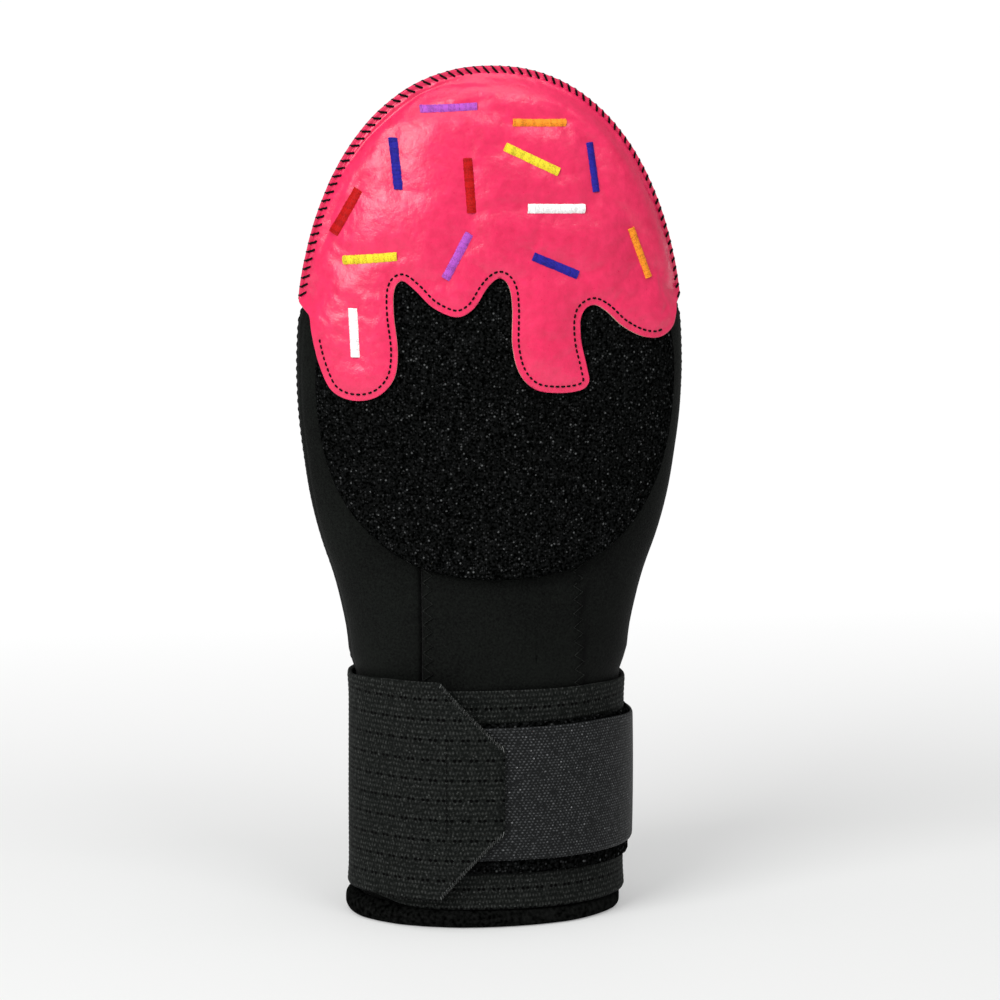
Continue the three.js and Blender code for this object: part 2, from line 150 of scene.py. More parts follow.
def bump(value, middle, spread):
    """A soft hill that is 1 at its middle and fades to both sides."""
    return math.exp(-(((value - middle) / spread) ** 2))


def between(knots, place):
    """A point on the smooth curve through knots, where place counts the knots passed."""
    first = min(max(int(place), 0), len(knots) - 2)
    share = place - first
    a, b, c, d = (knots[min(max(first + i, 0), len(knots) - 1)] for i in (-1, 0, 1, 2))
    out = []
    for p, q, r, s in zip(a, b, c, d):
        slope_in, slope_out = (r - p) / 2, (s - q) / 2
        cubic = (2 * q - 2 * r + slope_in + slope_out) * share**3
        square = (-3 * q + 3 * r - 2 * slope_in - slope_out) * share**2
        out.append(cubic + square + slope_in * share + q)
    return out


@lru_cache(maxsize=None)
def section(z, layer):
    """Sideways shift, half width, front depth and back depth of a layer at a height."""
    side, front, back = layer
    rise = min(max((z - FLARE_START) / (DOME_START - FLARE_START), 0), 1)
    row = max(i for i in range(len(FLARE) - 1) if FLARE[i][0] <= rise)
    within = (rise - FLARE[row][0]) / (FLARE[row + 1][0] - FLARE[row][0])
    _, widening, thinning = between(FLARE, row + within)
    top = HEIGHT - RIM_INSET + side
    dome = min(max((z - DOME_START) / (top - DOME_START), 0), 1)
    round_in = (1 - dome**DOME_POWER) ** (1 / DOME_POWER)
    thin = (1 - TIP_THINNING * dome) * (1 - dome**3) ** (1 / 3)
    shoulder = (RIM_INSET - SEAM_INSET) * (1 - ease(z, *SHOULDER))
    hand = (HAND_HALF - RIM_INSET + side) * round_in + shoulder
    return (
        WRIST_SHIFT * (1 - widening),
        mix(WRIST_HALF + side, hand, widening),
        (mix(WRIST_FRONT, HAND_FRONT, thinning) + front) * thin,
        (mix(WRIST_BACK, HAND_BACK, thinning) + back) * thin,
    )


def outward(x, y, z, layer):
    """The direction straight out of a layer at a point on it, with y counted from the side seams."""
    step = 0.1 * MM
    low, high = section(z - step, layer), section(z + step, layer)
    shift, half, front, back = section(z, layer)
    depth, column = (front, 2) if y < 0 else (back, 3)
    across, through = abs(x - shift) / half, abs(y) / depth
    half_slope = (high[1] - low[1]) / (2 * step)
    depth_slope = (high[column] - low[column]) / (2 * step)
    power = SECTION_POWER
    return Vector((
        math.copysign(across ** (power - 1) / half, x - shift),
        math.copysign(through ** (power - 1) / depth, y),
        -(across**power * half_slope / half + through**power * depth_slope / depth),
    )).normalized()


def on_wall(degrees, z, layer, lift=0.0, up=None):
    """A point on a layer by its angle round it: -90 is the front, 0 the right and 90 the back."""
    angle = math.radians(degrees)
    shift, half, front, back = section(z, layer)
    swell = 2 / SECTION_POWER
    x = shift + half * math.copysign(abs(math.cos(angle)) ** swell, math.cos(angle))
    y = math.copysign(abs(math.sin(angle)) ** swell, math.sin(angle))
    y *= front if y < 0 else back
    point = Vector((x, y + SEAM_PLANE, z if up is None else up))
    return point + outward(x, y, z, layer) * lift if lift else point


def on_front(x, z, layer, lift=0.0, facing=-1):
    """A point on a layer by its place seen from the front, or from behind with facing 1."""
    shift, half, front, back = section(z, layer)
    across = min(abs(x - shift) / max(half, MM), 0.9999)
    y = facing * (front if facing < 0 else back) * (1 - across**SECTION_POWER) ** (1 / SECTION_POWER)
    point = Vector((x, y + SEAM_PLANE, z))
    return point + outward(x, y, z, layer) * lift if lift else point


for height in (0.05, 0.15, 0.2, 0.28):
    print("at", height, "half width", round(section(height, BODY)[1] / MM, 1), "mm")

# %% [markdown]
# Every piece below starts from the same steps: a bmesh grid is made by its operator, its points are laid
# on the form, and the result becomes an object that rides on the model's one body. A grid keeps a flat
# copy of its points in a UV map, in metres of real cloth, so ribs and twill can follow a bent strap.

# %% Helpers for pieces
FLAT = "cloth"


def piece(name, bm, slot, nodes=(), materials=()):
    """Makes a bmesh an object of the mitt that stands for the named solids."""
    mesh = bpy.data.meshes.new(name)
    bm.to_mesh(mesh)
    bm.free()
    mesh.polygons.foreach_set("use_smooth", [True] * len(mesh.polygons))
    obj = bpy.data.objects.new(name, mesh)
    bpy.context.scene.collection.objects.link(obj)
    for material in materials:
        mesh.materials.append(material)
    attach(obj, "root")
    if nodes:
        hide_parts(*nodes)
    print(name, len(mesh.vertices), "points,", len(mesh.polygons), "faces")
    return obj


def cloth_grid(columns, rows, width, height, place, closed=False):
    """A grid of cloth laid by place(u, v), u and v from 0 to 1, with its flat size kept as UVs."""
    bm = bmesh.new()
    bmesh.ops.create_grid(bm, x_segments=columns, y_segments=rows, size=0.5)
    flat = bm.loops.layers.uv.new(FLAT)
    for face in bm.faces:
        for loop in face.loops:
            u, v = loop.vert.co.x + 0.5, loop.vert.co.y + 0.5
            loop[flat].uv = (u * width, v * height)
    for vert in bm.verts:
        vert.co = place(vert.co.x + 0.5, vert.co.y + 0.5)
    if closed:
        bmesh.ops.remove_doubles(bm, verts=bm.verts, dist=0.01 * MM)
    bmesh.ops.recalc_face_normals(bm, faces=bm.faces)
    return bm


def thicken(obj, thickness, rim=0):
    """Gives a sheet its thickness, inwards from its face."""
    wall = obj.modifiers.new("thickness", "SOLIDIFY")
    wall.thickness = thickness
    wall.offset = -1.0
    wall.material_offset_rim = rim
    wall.use_even_offset = False


def facing_out(bm):
    """Turns a sheet's faces so that most look away from the middle of the mitt."""
    total = 0
    for face in bm.faces:
        middle = face.calc_center_median()
        total += face.normal.dot(Vector((middle.x, middle.y - SEAM_PLANE, 0))) * face.calc_area()
    if total < 0:
        bmesh.ops.reverse_faces(bm, faces=bm.faces)
    return bm


def threads(name, paths, radius, slot, material, sides=1):
    """Sewn or embroidered threads: one round tube along each path."""
    curve = bpy.data.curves.new(name, "CURVE")
    curve.dimensions = "3D"
    curve.bevel_depth = radius
    curve.bevel_resolution = sides
    curve.use_fill_caps = True
    for path in paths:
        spline = curve.splines.new("POLY")
        spline.points.add(len(path) - 1)
        for point, co in zip(spline.points, path):
            point.co = (*co, 1)
    drawn = bpy.data.objects.new(name + "_line", curve)
    bpy.context.scene.collection.objects.link(drawn)
    bpy.context.view_layer.update()
    mesh = bpy.data.meshes.new_from_object(drawn.evaluated_get(bpy.context.evaluated_depsgraph_get()))
    bpy.data.objects.remove(drawn)
    strand = mesh.attributes.new("strand", "FLOAT", "POINT")
    share = len(mesh.vertices) / len(paths)
    numbers = [noise.cell(Vector((int(i / share) + 0.5, 0, 0))) for i in range(len(strand.data))]
    strand.data.foreach_set("value", numbers)
    bm = bmesh.new()
    bm.from_mesh(mesh)
    bpy.data.meshes.remove(mesh)
    return piece(name, bm, slot, materials=[material])


# %% [markdown]
# Most of the finishes are cloth, and cloth shows two things up close: a fine grain that catches light,
# and a colour that is never quite even. Both are wanted in many materials, so each is a node group with
# named inputs that is built once. The groups give out only a height or a mask, and the shader itself
# stays in each material.


# %% Node helpers and groups
def group(name, inputs, outputs):
    """An empty shader group with float inputs (name, default) and named outputs."""
    tree = bpy.data.node_groups.new(name, "ShaderNodeTree")
    tree.interface.new_socket("Vector", in_out="INPUT", socket_type="NodeSocketVector")
    for label, default in inputs:
        given = tree.interface.new_socket(label, in_out="INPUT", socket_type="NodeSocketFloat")
        given.default_value = default
    for label in outputs:
        tree.interface.new_socket(label, in_out="OUTPUT", socket_type="NodeSocketFloat")
    return tree, tree.nodes.new("NodeGroupInput"), tree.nodes.new("NodeGroupOutput")


def node(tree, kind, values=(), **settings):
    """Adds a node, sets its properties, and sets or links its inputs by name or number."""
    made = tree.nodes.new(kind)
    for key, value in settings.items():
        setattr(made, key, value)
    for key, value in dict(values).items():
        if isinstance(value, bpy.types.NodeSocket):
            tree.links.new(value, made.inputs[key])
        else:
            made.inputs[key].default_value = value
    return made


def math_node(tree, operation, first, second=0.0, third=0.0):
    """The result of one sum on plain numbers or other nodes' outputs."""
    return node(tree, "ShaderNodeMath", {0: first, 1: second, 2: third}, operation=operation).outputs[0]


def build_grain():
    """Fine grain with slow unevenness: the height of the grain, and a mask that wanders."""
    sizes = [("Grain Scale", 1500), ("Wander Scale", 40)]
    tree, given, out = group("cloth_grain", sizes, ["Height", "Wander"])
    for label, scale, detail in (("Height", "Grain Scale", 3), ("Wander", "Wander Scale", 2)):
        values = {"Vector": given.outputs["Vector"], "Scale": given.outputs[scale], "Detail": detail}
        tree.links.new(node(tree, "ShaderNodeTexNoise", values).outputs[0], out.inputs[label])
    return tree


def build_lattice():
    """Small raised knots in rows on a flat cloth, each row set along by a share of the knots' pitch."""
    sizes = [("Across", 0.001), ("Along", 0.001), ("Stagger", 0.5)]
    tree, given, out = group("cloth_lattice", sizes, ["Height"])
    parts = node(tree, "ShaderNodeSeparateXYZ", {0: given.outputs["Vector"]})
    row = math_node(tree, "DIVIDE", parts.outputs["Y"], given.outputs["Along"])
    column = math_node(tree, "DIVIDE", parts.outputs["X"], given.outputs["Across"])
    set_along = math_node(tree, "MULTIPLY", math_node(tree, "ROUND", row), given.outputs["Stagger"])
    column = math_node(tree, "ADD", column, set_along)
    waves = []
    for turns in (row, column):
        wave = math_node(tree, "COSINE", math_node(tree, "MULTIPLY", turns, 2 * math.pi))
        waves.append(math_node(tree, "MULTIPLY_ADD", wave, 0.5, 0.5))
    tree.links.new(math_node(tree, "MULTIPLY", *waves), out.inputs["Height"])
    return tree


def build_sparks():
    """Rare soft spots for painted glints, each on a cell of its own and as bright as its chance allows."""
    sizes = [("Scale", 900), ("Rarity", 0.9), ("Size", 0.33)]
    tree, given, out = group("cloth_sparks", sizes, ["Mask"])
    values = {"Vector": given.outputs["Vector"], "Scale": given.outputs["Scale"]}
    cells = node(tree, "ShaderNodeTexVoronoi", values)
    chance = node(tree, "ShaderNodeSeparateColor", {0: cells.outputs["Color"]})
    over = math_node(tree, "SUBTRACT", chance.outputs[0], given.outputs["Rarity"])
    room = math_node(tree, "SUBTRACT", 1.0, given.outputs["Rarity"])
    bright = math_node(tree, "MAXIMUM", math_node(tree, "DIVIDE", over, room), 0.0)
    away = math_node(tree, "DIVIDE", cells.outputs["Distance"], given.outputs["Size"])
    near = math_node(tree, "MAXIMUM", math_node(tree, "SUBTRACT", 1.3, away), 0.0)
    spot = math_node(tree, "MINIMUM", math_node(tree, "MULTIPLY", bright, near), 1.0)
    tree.links.new(spot, out.inputs["Mask"])
    return tree


GRAIN = build_grain()
LATTICE = build_lattice()
SPARKS = build_sparks()


def use_group(tree, shared, vector, **values):
    """Puts a shared group in a material, with its named inputs set."""
    made = tree.nodes.new("ShaderNodeGroup")
    made.node_tree = shared
    tree.links.new(vector, made.inputs["Vector"])
    for key, value in values.items():
        made.inputs[key.replace("_", " ")].default_value = value
    return made


def new_material(name, roughness, **sockets):
    """A material with its shader's plain numbers set on the shader's own sockets."""
    material = bpy.data.materials.new(name)
    material.use_nodes = True
    tree = material.node_tree
    shader = tree.nodes["Principled BSDF"]
    shader.inputs["Roughness"].default_value = roughness
    for key, value in sockets.items():
        shader.inputs[key.replace("_", " ")].default_value = value
    return material, tree, shader


def place_of(tree, flat=False):
    """Object coordinates, or the piece's own flat cloth coordinates."""
    if flat:
        return node(tree, "ShaderNodeUVMap", uv_map=FLAT).outputs["UV"]
    return node(tree, "ShaderNodeTexCoord").outputs["Object"]


def two_tone(tree, factor, dark, light, low=0.35, high=0.65):
    """A colour between two tones."""
    ramp = node(tree, "ShaderNodeValToRGB", {0: factor})
    ramp.color_ramp.elements[0].position = low
    ramp.color_ramp.elements[0].color = (*dark, 1)
    ramp.color_ramp.elements[1].position = high
    ramp.color_ramp.elements[1].color = (*light, 1)
    return ramp.outputs["Color"]


def mixed(tree, factor, first, second):
    """One colour, or another where the factor is 1."""
    colours = {0: factor, 6: first, 7: second if isinstance(second, bpy.types.NodeSocket) else (*second, 1)}
    return node(tree, "ShaderNodeMix", colours, data_type="RGBA").outputs[2]


def raise_normal(tree, shader, height, distance, strength=1.0):
    """Makes a height show as relief on a shader."""
    bumped = node(tree, "ShaderNodeBump", {"Height": height, "Distance": distance, "Strength": strength})
    tree.links.new(bumped.outputs["Normal"], shader.inputs["Normal"])


print("shader groups:", GRAIN.name, LATTICE.name, SPARKS.name)

# %% [markdown]
# The body is neoprene foam faced with fine black jersey. It is nearly black with a hint of green where
# light grazes it, so it gets a very dark two-tone colour with hardly any gloss, and the jersey's tiny knit
# as bump. The cuff's hem is brushed until it is velvety, which takes no gloss at all and a blotchier
# grain. An attribute named seam paints shade into the cloth where it dips between two panels.


# %% Black cloth
SEAM_SHADE_ATTRIBUTE = "seam"
BLACK = (0.0003, 0.0004, 0.0003)
GLOSS_A_SHEEN = 4
SEAM_SHADE_FACTOR = 0.15


def black_cloth(name, dark, light, grain, depth, sheen, roughness):
    """Dark cloth that wanders between two tones, with painted shade where the attribute marks a seam's dip.
    """
    gloss = sheen * GLOSS_A_SHEEN
    made, tree, shader = new_material(name, roughness, Sheen_Weight=sheen, Specular_IOR_Level=gloss)
    place = place_of(tree)
    cloth = use_group(tree, GRAIN, place, Grain_Scale=grain, Wander_Scale=35)
    tone = math_node(tree, "MULTIPLY_ADD", cloth.outputs["Wander"], 0.3, 0.0)
    tone = math_node(tree, "MULTIPLY_ADD", cloth.outputs["Height"], 0.7, tone)
    colour = two_tone(tree, tone, dark, light)
    # Painted shade: where the seam attribute is 1, the colour turns much darker, for the shade in the seam's
    # dip.
    seam = node(tree, "ShaderNodeAttribute", attribute_name=SEAM_SHADE_ATTRIBUTE).outputs["Fac"]
    colour = mixed(tree, seam, colour, tuple(channel * SEAM_SHADE_FACTOR for channel in dark))
    tree.links.new(colour, shader.inputs["Base Color"])
    raise_normal(tree, shader, cloth.outputs["Height"], depth)
    return made


JERSEY = black_cloth("black_jersey", BLACK, (0.0055, 0.0068, 0.0056), 1300, 0.2 * MM, 0.02, 0.8)
BRUSHED = black_cloth("brushed_hem", BLACK, (0.009, 0.0095, 0.009), 700, 0.5 * MM, 0, 0.9)
THREAD_BLACK = black_cloth("black_thread", BLACK, (0.006, 0.006, 0.006), 3000, 0.05 * MM, 0.01, 0.6)
THREAD_SOFT = black_cloth("soft_thread", BLACK, (0.023, 0.025, 0.023), 1500, 0.05 * MM, 0.01, 0.6)

# %% [markdown]
# The mitt's body is four panels: one behind, and three in front joined by two upright seams. On the real
# mitt the edges turn in at each seam, so every panel here is a grid laid between its two seam lines whose
# last millimetres dip inwards. Solidify then gives the foam its thickness towards the hand.

# %% Body panels
SEAM_LEFT = -28 * MM
SEAM_RIGHT = 30.5 * MM
CUFF_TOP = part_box("back_panel")[0].z
BODY_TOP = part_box("back_panel")[1].z - 0.4 * MM
FOAM = 3 * MM
SEAM_DIP = 1.3 * MM
SEAM_SPREAD = 1.1 * MM
SIDE_GROOVE = 4.6 * MM
SEAM_SHADE = 0.8 * MM
STRAP_BULGE = 1.3 * MM
BULGE_UP = 92 * MM
BULGE_SPREAD = 9 * MM
PANEL_ROWS = 110
CREASE = 0.35 * MM
CREASE_LONG = 30 * MM
GROOVE_DEEP = 0.35 * MM
GROOVE_SPREAD = 0.6 * MM
UNDER_STITCH = 0.05 * MM


def strap_bulge(degrees, z):
    """The foam swells a little above the tight strap, most at the sides."""
    return STRAP_BULGE * bump(z, BULGE_UP, BULGE_SPREAD) * (0.4 + 0.5 * abs(math.cos(math.radians(degrees))))


def angle_of(x, z):
    """The front angle at which the body reaches a place across."""
    shift, half, _, _ = section(z, BODY)
    share = min(max((x - shift) / half, -1), 1)
    return -math.degrees(math.acos(math.copysign(abs(share) ** (SECTION_POWER / 2), share)))


def panel(name, left, right, columns):
    """One panel of the body between two edges, each an angle or a place across."""

    def edge(limit, z):
        return angle_of(limit, z) if abs(limit) < 1 else limit

    def place(u, v):
        z = mix(CUFF_TOP, BODY_TOP, math.sin(v * math.pi / 2) ** 0.9 if v > 0 else 0)
        from_left = edge(left, z)
        to_right = edge(right, z)
        degrees = mix(from_left, to_right, u)
        point = on_wall(degrees, z, BODY)
        gaps = [(point - on_wall(limit, z, BODY)).length for limit in (from_left, to_right)]
        crease = CREASE * noise.noise(Vector((point.x, point.y, z * 0.5)) / CREASE_LONG)
        for limit, gap in zip((left, right), gaps):
            crease -= SEAM_DIP * bump(gap, 0, SEAM_SPREAD)
            if abs(limit) > 1 or limit == 0:
                crease -= GROOVE_DEEP * bump(gap, SIDE_GROOVE, GROOVE_SPREAD)
        return on_wall(degrees, z, BODY, crease + strap_bulge(degrees, z) - UNDER_STITCH)

    bm = facing_out(cloth_grid(columns, PANEL_ROWS, 0.1, 0.3, place))
    obj = piece(name + "_cloth", bm, "black_fabric", [name], [JERSEY])
    # Painted shade: the front panels are marked near the two front seams, where the cloth is painted darker.
    darker = obj.data.attributes.new(SEAM_SHADE_ATTRIBUTE, "FLOAT", "POINT")
    for vert in obj.data.vertices:
        near = min(abs(vert.co.x - SEAM_LEFT), abs(vert.co.x - SEAM_RIGHT))
        darker.data[vert.index].value = bump(near, 0, SEAM_SHADE) if vert.co.y < SEAM_PLANE else 0
    thicken(obj, FOAM)


panel("front_left_panel", -180, SEAM_LEFT, 36)
panel("front_centre_panel", SEAM_LEFT, SEAM_RIGHT, 50)
panel("front_right_panel", SEAM_RIGHT, 0, 36)
panel("back_panel", 0, 180, 90)

# %% [markdown]
# The front seams are closed with a zigzag stitch that lies beside the seam line, and the side seams are
# overlocked: a thread winds round the joined edges and leaves a row of small bumps. Bump mapping would
# lose them in outline, so both are real threads, swept along paths that are worked out on the body.

# %% Seam stitches
ZIGZAG_PITCH = 5 * MM
ZIGZAG_WIDE = 3.4 * MM
ZIGZAG_ASIDE = 0.6 * MM
ZIGZAG_OVERLAP = 8 * MM
SEAM_THREAD = 0.25 * MM
SEAM_LOW = 85 * MM
PAD_BOTTOM = 126.5 * MM


def zigzag(x, side):
    """The path of a zigzag beside a front seam, on the side given."""
    path = []
    turns = int((PAD_BOTTOM + ZIGZAG_OVERLAP - SEAM_LOW) / ZIGZAG_PITCH * 2)
    for i in range(turns):
        z = SEAM_LOW + i * ZIGZAG_PITCH / 2
        out = side * (ZIGZAG_ASIDE + (ZIGZAG_WIDE if i % 2 else 0))
        lift = strap_bulge(angle_of(x + out, z), z) + SEAM_THREAD * 0.7
        path.append(on_front(x + out, z, BODY, lift))
    return path


ZIGZAGS = [zigzag(SEAM_LEFT, 1), zigzag(SEAM_RIGHT, -1)]
threads("front_seam_zigzag", ZIGZAGS, SEAM_THREAD, "black_fabric", THREAD_SOFT)

OVERLOCK_PITCH = 2.9 * MM
OVERLOCK_REACH = 1.7 * MM
OVERLOCK_DROP = 0.7 * MM
OVERLOCK_THREAD = 0.2 * MM
SUNK_LEFT = 0.14 * MM


def overlock(side):
    """Thread loops over one side seam, from the strap up to the leather rim."""
    paths = []
    count = int((RIM_END - SEAM_LOW) / OVERLOCK_PITCH)
    for i in range(count):
        z = SEAM_LOW + i * OVERLOCK_PITCH
        shift, half, _, _ = section(z, BODY)
        x = shift + side * (half + strap_bulge(0, z) - 0.1 * MM) + (SUNK_LEFT if side < 0 else 0)
        loop = []
        for turn in range(-3, 4):
            y = turn / 3 * OVERLOCK_REACH
            slope = turn / 3 * OVERLOCK_PITCH * 0.4
            drop = (turn / 3) ** 2 * OVERLOCK_DROP
            loop.append(Vector((x - side * drop, SEAM_PLANE + y, z + slope)))
        paths.append(loop)
    return paths


LOOPS = overlock(-1) + overlock(1)
threads("side_seam_overlock", LOOPS, OVERLOCK_THREAD, "black_fabric", THREAD_BLACK)

# %% [markdown]
# The wrist opening is bound with a soft, rounded hem that stands on the floor. It could be a torus, but a
# hem made of brushed cloth is flat below, fuller outside and never perfectly even. A closed profile is
# laid round the wrist oval and swells a little here and there.

# %% Cuff hem
LIP_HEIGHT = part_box("cuff_lip")[1].z
LIP_OUT = 2.8 * MM
LIP_IN = 3 * MM
LIP_SHIFT = -2 * MM
LIP_TUCK = 1.2 * MM
LIP_FLATTEN = 0.7
LIP_UNEVEN = 0.5 * MM
LIP_LUMPS = 0.15 * MM


def hem_place(u, v):
    """The hem's profile at v, laid round the wrist at u."""
    turn = 2 * math.pi * v
    across = math.copysign(abs(math.cos(turn)) ** LIP_FLATTEN, math.cos(turn))
    upward = math.copysign(abs(math.sin(turn)) ** LIP_FLATTEN, math.sin(turn))
    ring = Vector((math.cos(2 * math.pi * u), math.sin(2 * math.pi * u), 0)) * 2.5
    swell = noise.noise(ring) * LIP_UNEVEN + noise.noise(ring * 4) * LIP_LUMPS
    out = mix(-LIP_IN, LIP_OUT, (across + 1) / 2) + (swell if across > 0 else 0)
    top = LIP_HEIGHT + (LIP_TUCK if across < 0.2 else 0)
    z = mix(0, top, (upward + 1) / 2)
    return on_wall(360 * u, 0, (out, out, out), up=z) + Vector((LIP_SHIFT, 0, 0))


hem = cloth_grid(240, 28, 0.27, 0.02, hem_place, closed=True)
piece("cuff_hem", hem, "black_fabric", ["cuff_lip"], [BRUSHED])

# %% [markdown]
# The drip edge of the leather is one flowing line, like icing that runs down. Its knots are given as
# shares of the pattern's half width and of the longest drip, and a smooth curve passes through.
# The same line later cuts the leather and guides the running stitch, and a search tree, made here too,
# tells how far any point is from such a line.

# %% The drip line
DRIP_LINE = 222 * MM
DRIP_DROP = 32 * MM
PATTERN_HALF = HAND_HALF - 1.3 * MM
PATTERN_SHIFT = -0.55 * MM
DRIPS = (
    (-0.945, 0.1), (-0.938, 0.3), (-0.905, 0.62), (-0.845, 0.9), (-0.74, 1), (-0.62, 0.95), (-0.535, 0.75),
    (-0.513, 0.45), (-0.53, 0.05), (-0.525, -0.22), (-0.485, -0.32), (-0.42, -0.22), (-0.33, -0.03),
    (-0.21, 0.075), (-0.12, -0.02), (-0.05, -0.24), (0.015, -0.345), (0.065, -0.24), (0.078, 0),
    (0.075, 0.4), (0.11, 0.7), (0.19, 0.88), (0.31, 0.93), (0.43, 0.91), (0.475, 0.82), (0.465, 0.66),
    (0.435, 0.35), (0.44, 0.08), (0.5, -0.02), (0.57, 0.05), (0.66, 0.23), (0.77, 0.36), (0.87, 0.385),
    (0.945, 0.28), (0.975, 0.05),
)
DRIP_STEPS = 12


def drip_points():
    """The drip line as many close points, from left to right."""
    knots = [(PATTERN_SHIFT + x * PATTERN_HALF, DRIP_LINE - down * DRIP_DROP) for x, down in DRIPS]
    count = (len(knots) - 1) * DRIP_STEPS
    return [Vector(between(knots, i / DRIP_STEPS)) for i in range(count + 1)]


def tree_of(points):
    """A search tree that finds the nearest of some flat points."""
    found = kdtree.KDTree(len(points))
    for i, point in enumerate(points):
        found.insert((point.x, point.y, 0), i)
    found.balance()
    return found


DRIP = drip_points()
length = sum((b - a).length for a, b in zip(DRIP, DRIP[1:]))
print("the drip line is", round(length / MM), "mm long")

# %% [markdown]
# A sheet that is cut along a curve needs even faces right up to the cut. The way used here starts from
# the outline as one face in a flat plan and slices it with bisect planes, which leaves a clean grid with
# an exact edge. The plan is not the front view but an unrolled one: around the tip, and from the rim in
# to the middle. Rows then run along the rim, as the puffed roll beside a whipstitch really does.

# %% The unrolled plan
PLAN_CENTRE = 170 * MM


def outline_half(z):
    """Half the mitt's whole width at a height, rim included."""
    share = (z - DOME_START) / (HEIGHT - DOME_START)
    if share > 0:
        return HAND_HALF * (1 - min(share, 1) ** DOME_POWER) ** (1 / DOME_POWER)
    return section(z, BODY)[1] + SEAM_INSET


@lru_cache(maxsize=None)
def reach_at(degrees):
    """How far the outline is from the plan's centre in a direction."""
    way = Vector((math.cos(math.radians(degrees)), math.sin(math.radians(degrees))))
    low, high = 0.0, HEIGHT
    for _ in range(36):
        middle = (low + high) / 2
        z = PLAN_CENTRE + way.y * middle
        inside = z < HEIGHT and abs(way.x * middle) < outline_half(z)
        low, high = (middle, high) if inside else (low, middle)
    return low


def to_plan(point):
    """Unrolls a front-view point: degrees round the centre, and 1 at the rim to 0 at the centre."""
    away = Vector((point[0], point[1] - PLAN_CENTRE))
    degrees = math.degrees(math.atan2(away.y, away.x))
    share = min(away.length / reach_at(round(degrees, 3)), 1)
    return degrees, math.asin(share) / (math.pi / 2)


def from_plan(degrees, share):
    reach = reach_at(round(degrees, 3)) * math.sin(share * math.pi / 2)
    turn = math.radians(degrees)
    return reach * math.cos(turn), PLAN_CENTRE + reach * math.sin(turn)


def sliced(outline, step_round, step_in):
    """A flat plan outline sliced into a grid. Its first number is in degrees and its second a share."""
    bm = bmesh.new()
    bm.faces.new([bm.verts.new((a, b, 0)) for a, b in outline])
    bmesh.ops.triangulate(bm, faces=bm.faces[:])
    first = [v.co.copy() for v in bm.verts]
    for axis, step in ((0, step_round), (1, step_in)):
        normal = Vector((1, 0, 0)) if axis == 0 else Vector((0, 1, 0))
        low = min(co[axis] for co in first)
        high = max(co[axis] for co in first)
        for i in range(math.ceil(low / step), math.ceil(high / step)):
            parts = bm.verts[:] + bm.edges[:] + bm.faces[:]
            bmesh.ops.bisect_plane(bm, geom=parts, dist=1e-6, plane_co=normal * (i * step), plane_no=normal)
    slanted = []
    for edge in bm.edges:
        run = edge.verts[0].co - edge.verts[1].co
        if not edge.is_boundary and abs(run.x) > 1e-5 and abs(run.y) > 1e-5:
            slanted.append(edge)
    bmesh.ops.dissolve_edges(bm, edges=slanted, use_verts=True)
    return bm


# %% [markdown]
# The bars of embroidery matter before the leather does, because each of them sews the leather down. A row
# holds a bar's place across and up as shares of the pattern, its slant in degrees, and its length and
# width as shares of the usual bar. From the rows come the bars' middle lines.

# %% Bar rows
BARS = {
    "bar_purple_top": (-0.22, 0.956, 3, 1.05, 0.85),
    "bar_orange_top": (0.245, 0.938, -2, 1.03, 0.85),
    "bar_blue_left": (-0.5, 0.893, -86, 0.93, 1),
    "bar_blue_right": (0.52, 0.885, -84, 0.92, 0.85),
    "bar_yellow_top": (0.2, 0.897, -26, 1.14, 1),
    "bar_red_middle": (-0.13, 0.869, -87, 1.01, 1.05),
    "bar_red_left": (-0.75, 0.838, 61, 0.97, 1),
    "bar_white_right": (0.32, 0.841, -2, 1.11, 1.05),
    "bar_yellow_left": (-0.64, 0.786, 6, 0.98, 1),
    "bar_purple_low": (-0.2, 0.79, 61, 0.97, 1),
    "bar_blue_low": (0.31, 0.776, -24, 0.95, 1),
    "bar_orange_right": (0.765, 0.785, -70, 1, 0.85),
    "bar_white_drip": (-0.73, 0.701, -88, 0.91, 1),
}
BAR_LONG = 19 * MM
BAR_WIDE = 3.4 * MM
STITCH_IN = 2.3 * MM


def bar_line(row):
    """The two ends of a bar's middle line, seen from the front."""
    across, up, turn, long, _ = row
    middle = Vector((PATTERN_SHIFT + across * PATTERN_HALF, up * HEIGHT))
    way = Vector((math.cos(math.radians(turn)), math.sin(math.radians(turn))))
    reach = way * BAR_LONG * long / 2
    return middle - reach, middle + reach


def distance_to(point, line):
    start, end = line
    along = end - start
    share = min(max((point - start).dot(along) / along.length_squared, 0), 1)
    return (point - start - along * share).length


BAR_LINES = [bar_line(row) for row in BARS.values()]


def rim_inside(point):
    """How far a front-view point lies inside the mitt's outline."""
    degrees, share = to_plan(point)
    return reach_at(round(degrees, 3)) * (1 - math.sin(share * math.pi / 2))


RIM_FLAT = 0.8 * MM
RIM_ROLL = 8 * MM
ROLL_FADE = (217 * MM, 229 * MM)


def leather_form(x, z, facing=-1):
    """A point on the leather before it swells, and the direction out of it."""
    flat = CLEAR / 2 + RIM_THICK
    shift, half, _, _ = section(z, LEATHER)
    point = Vector((x, SEAM_PLANE + facing * flat, z))
    if abs(x - shift) >= half * 0.9995:
        return point, Vector((0, facing, 0))
    base = on_front(x, z, LEATHER, 0, facing)
    depth = max((base.y - SEAM_PLANE) * facing, flat)
    roll = ease(rim_inside(Vector((x, z))), RIM_FLAT, RIM_FLAT + RIM_ROLL)
    point.y = SEAM_PLANE + facing * mix(flat, depth, mix(1, roll, ease(z, *ROLL_FADE)))
    return point, outward(x, base.y - SEAM_PLANE, z, LEATHER)


print("the rim is flat for", RIM_FLAT / MM, "mm and then rolls up for", RIM_ROLL / MM, "mm")
